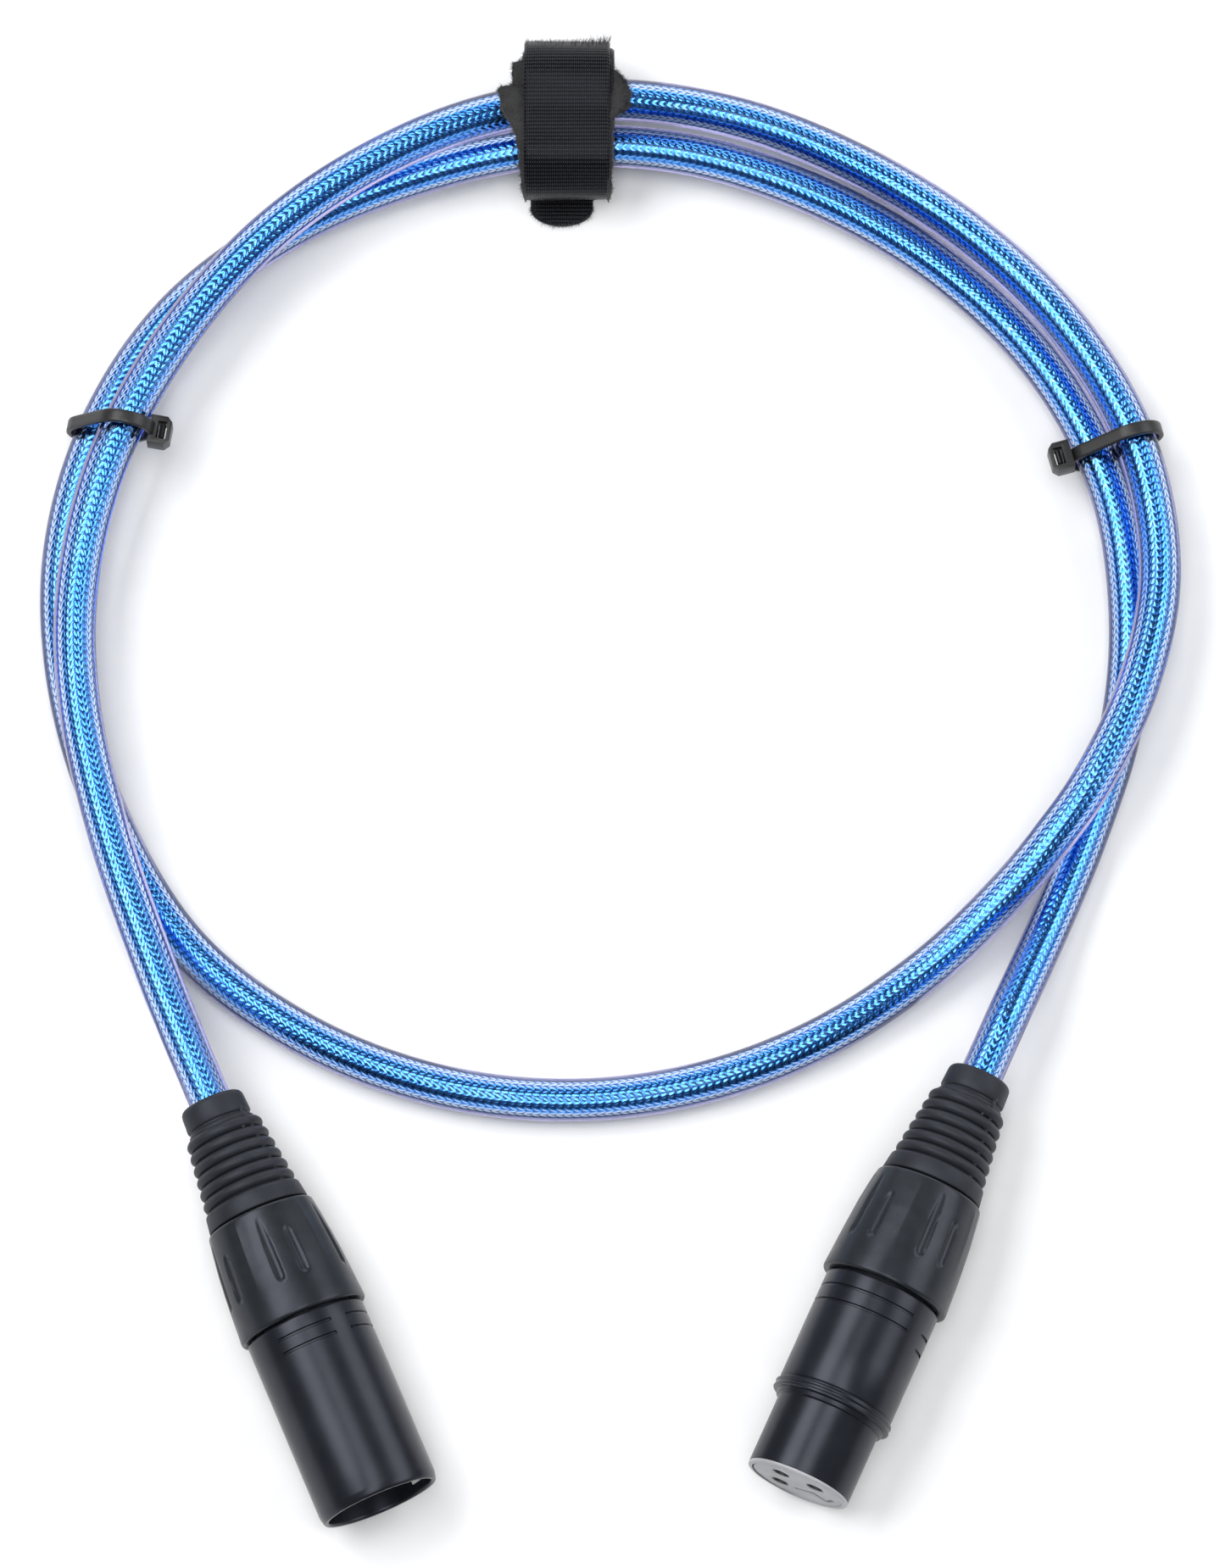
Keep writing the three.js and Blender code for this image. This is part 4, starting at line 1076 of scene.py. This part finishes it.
def make_strap():
    extras = make_bulge("strap_pile_left", STRAP_X[0], -1, [
        (92.5, 0.2), (95, 0.6), (98.5, 0.9), (100.8, 1.3), (102.6, 1.8), (103.8, 2.6), (105, 3.3),
        (106.3, 3.6), (108.8, 4.0), (109.1, 3.6), (109.35, 1.8), (111, 1.8), (113.1, 1.9), (113.4, 0.3),
        (115.5, 0.1)], 3)
    extras += make_bulge("strap_pile_right", STRAP_X[1], 1, [
        (92.5, 0.2), (97, 0.45), (102, 0.5), (104, 0.7), (105.0, 1.9), (105.8, 3.0), (107.8, 3.3),
        (109.8, 2.7), (110.9, 1.7), (111.8, 0.7), (114, 0.2)], 4)
    rng = np.random.default_rng(11)
    n = FOLD_FIBRES
    x = rng.uniform(STRAP_X[0], STRAP_X[1], n)
    a = rng.uniform(-0.15, 0.75, n)
    y = STRAP_MID[0] + STRAP_FLAT + STRAP_TOP_R * np.cos(a)
    roots = np.stack([x, y, STRAP_MID[1] + STRAP_TOP_R * np.sin(a)], 1)
    ways = np.stack([rng.normal(0.1, 0.4, n), np.cos(a) * 1.2, np.sin(a) * 0.8 + 0.1], 1)
    reach = rng.uniform(0.3, 0.75, n) * np.interp(x, (STRAP_X[0], -5, STRAP_X[1]), (0.8, 0.9, 1.9))
    extras.append(fibres("strap_fold_fibres", roots, ways, reach, 0.03, 6))
    n = TAB_FIBRES
    a = rng.uniform(math.pi, 2 * math.pi, n)
    roots = np.stack([TAB_X + 4.8 * np.cos(a), 93.9 + 3.0 * np.sin(a), rng.uniform(0.3, 1.0, n)], 1)
    ways = np.stack([np.cos(a) * 0.6, np.sin(a) - 0.4, rng.uniform(-0.1, 0.5, n)], 1)
    extras.append(fibres("strap_tab_fibres", roots, ways, rng.uniform(0.2, 0.6, n), 0.03, 7))
    loop, loop_length = make_tape("strap_loop_band", "strap_loop_tape", -0.08, 0.6, 0, 0.7)
    hook, hook_length = make_tape("strap_hook_band", "strap_hook_tape", 0.605, 1.6, STRAP_TAIL, 0, True)


def make_details():
    for prefix, matrix, first in (("male", MALE, 5.5), ("female", FEMALE, 30)):
        make_boot(prefix, matrix)
        make_nut(prefix, matrix, first)
    make_male_shell()
    make_male_strips()
    make_male_insert()
    make_female_shell()
    make_female_insert()
    make_female_face()
    make_latch()
    make_tie("tie_left", (-77.65, 55.0), -10, [(2.15, 11.2), (-2.45, 5.2)], (7.75, 10.2))
    make_tie("tie_right", (78.45, 52.77), 15.4, [(2.3, 8.5), (-3.5, 5.1)], (-9.3, 7.6))
    make_strap()


make_details()

# ------------------------ floor and light

def make_floor():
    s = 3.0  # half the paper's width, in metres
    paper = moulded("floor_paper", (0.84, 0.84, 0.85), (0.86, 0.86, 0.86), (0.6, 0.7), 300, 0.02 * MM)
    floor = add_mesh("floor", [(-s, -s, 0), (s, -s, 0), (s, s, 0), (-s, s, 0)], [(0, 1, 2, 3)], paper)


def softbox(name, at, size, radiance):
    """An even panel that faces the origin; radiance is in watts per square metre and steradian."""
    data = bpy.data.lights.new(name, "AREA")
    data.shape = "RECTANGLE"
    data.size, data.size_y = size
    data.energy = radiance * math.pi * size[0] * size[1]
    light = bpy.data.objects.new(name, data)
    light.location = at
    light.rotation_mode = "QUATERNION"
    light.rotation_quaternion = (-Vector(at)).to_track_quat("-Z", "Y")
    bpy.context.scene.collection.objects.link(light)


def make_lights():
    world = bpy.data.worlds.new("studio")
    world.use_nodes = True
    world.node_tree.nodes["Background"].inputs["Color"].default_value = (0.9, 0.94, 1, 1)
    world.node_tree.nodes["Background"].inputs["Strength"].default_value = 0.16
    bpy.context.scene.world = world
    softbox("left_box", (-0.75, 0.25, 1.2), (1.3, 0.75), 5.5)
    softbox("right_box", (1.14, 0.25, 0.82), (1.3, 0.8), 3.4)
    softbox("top_box", (0, -0.43, 1.8), (0.7, 1.66), 4.6)
    softbox("back_box", (0, 1.8, 0.5), (2.6, 0.7), 2.6)


make_floor()
make_lights()
bpy.context.scene.view_settings.view_transform = "Standard"

# ------------------------ finishes of the pieces kept from CAD

FINISHES = {
    "chuck": COLLET, "hot_core": CORE_RED, "cold_core": CORE_WHITE, "screen": COPPER, "spring": STEEL,
}
for name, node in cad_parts.items():
    for ending, finish in FINISHES.items():
        if name.endswith(ending):
            node.data.materials.clear()
            node.data.materials.append(finish)

bpy.context.view_layer.update()
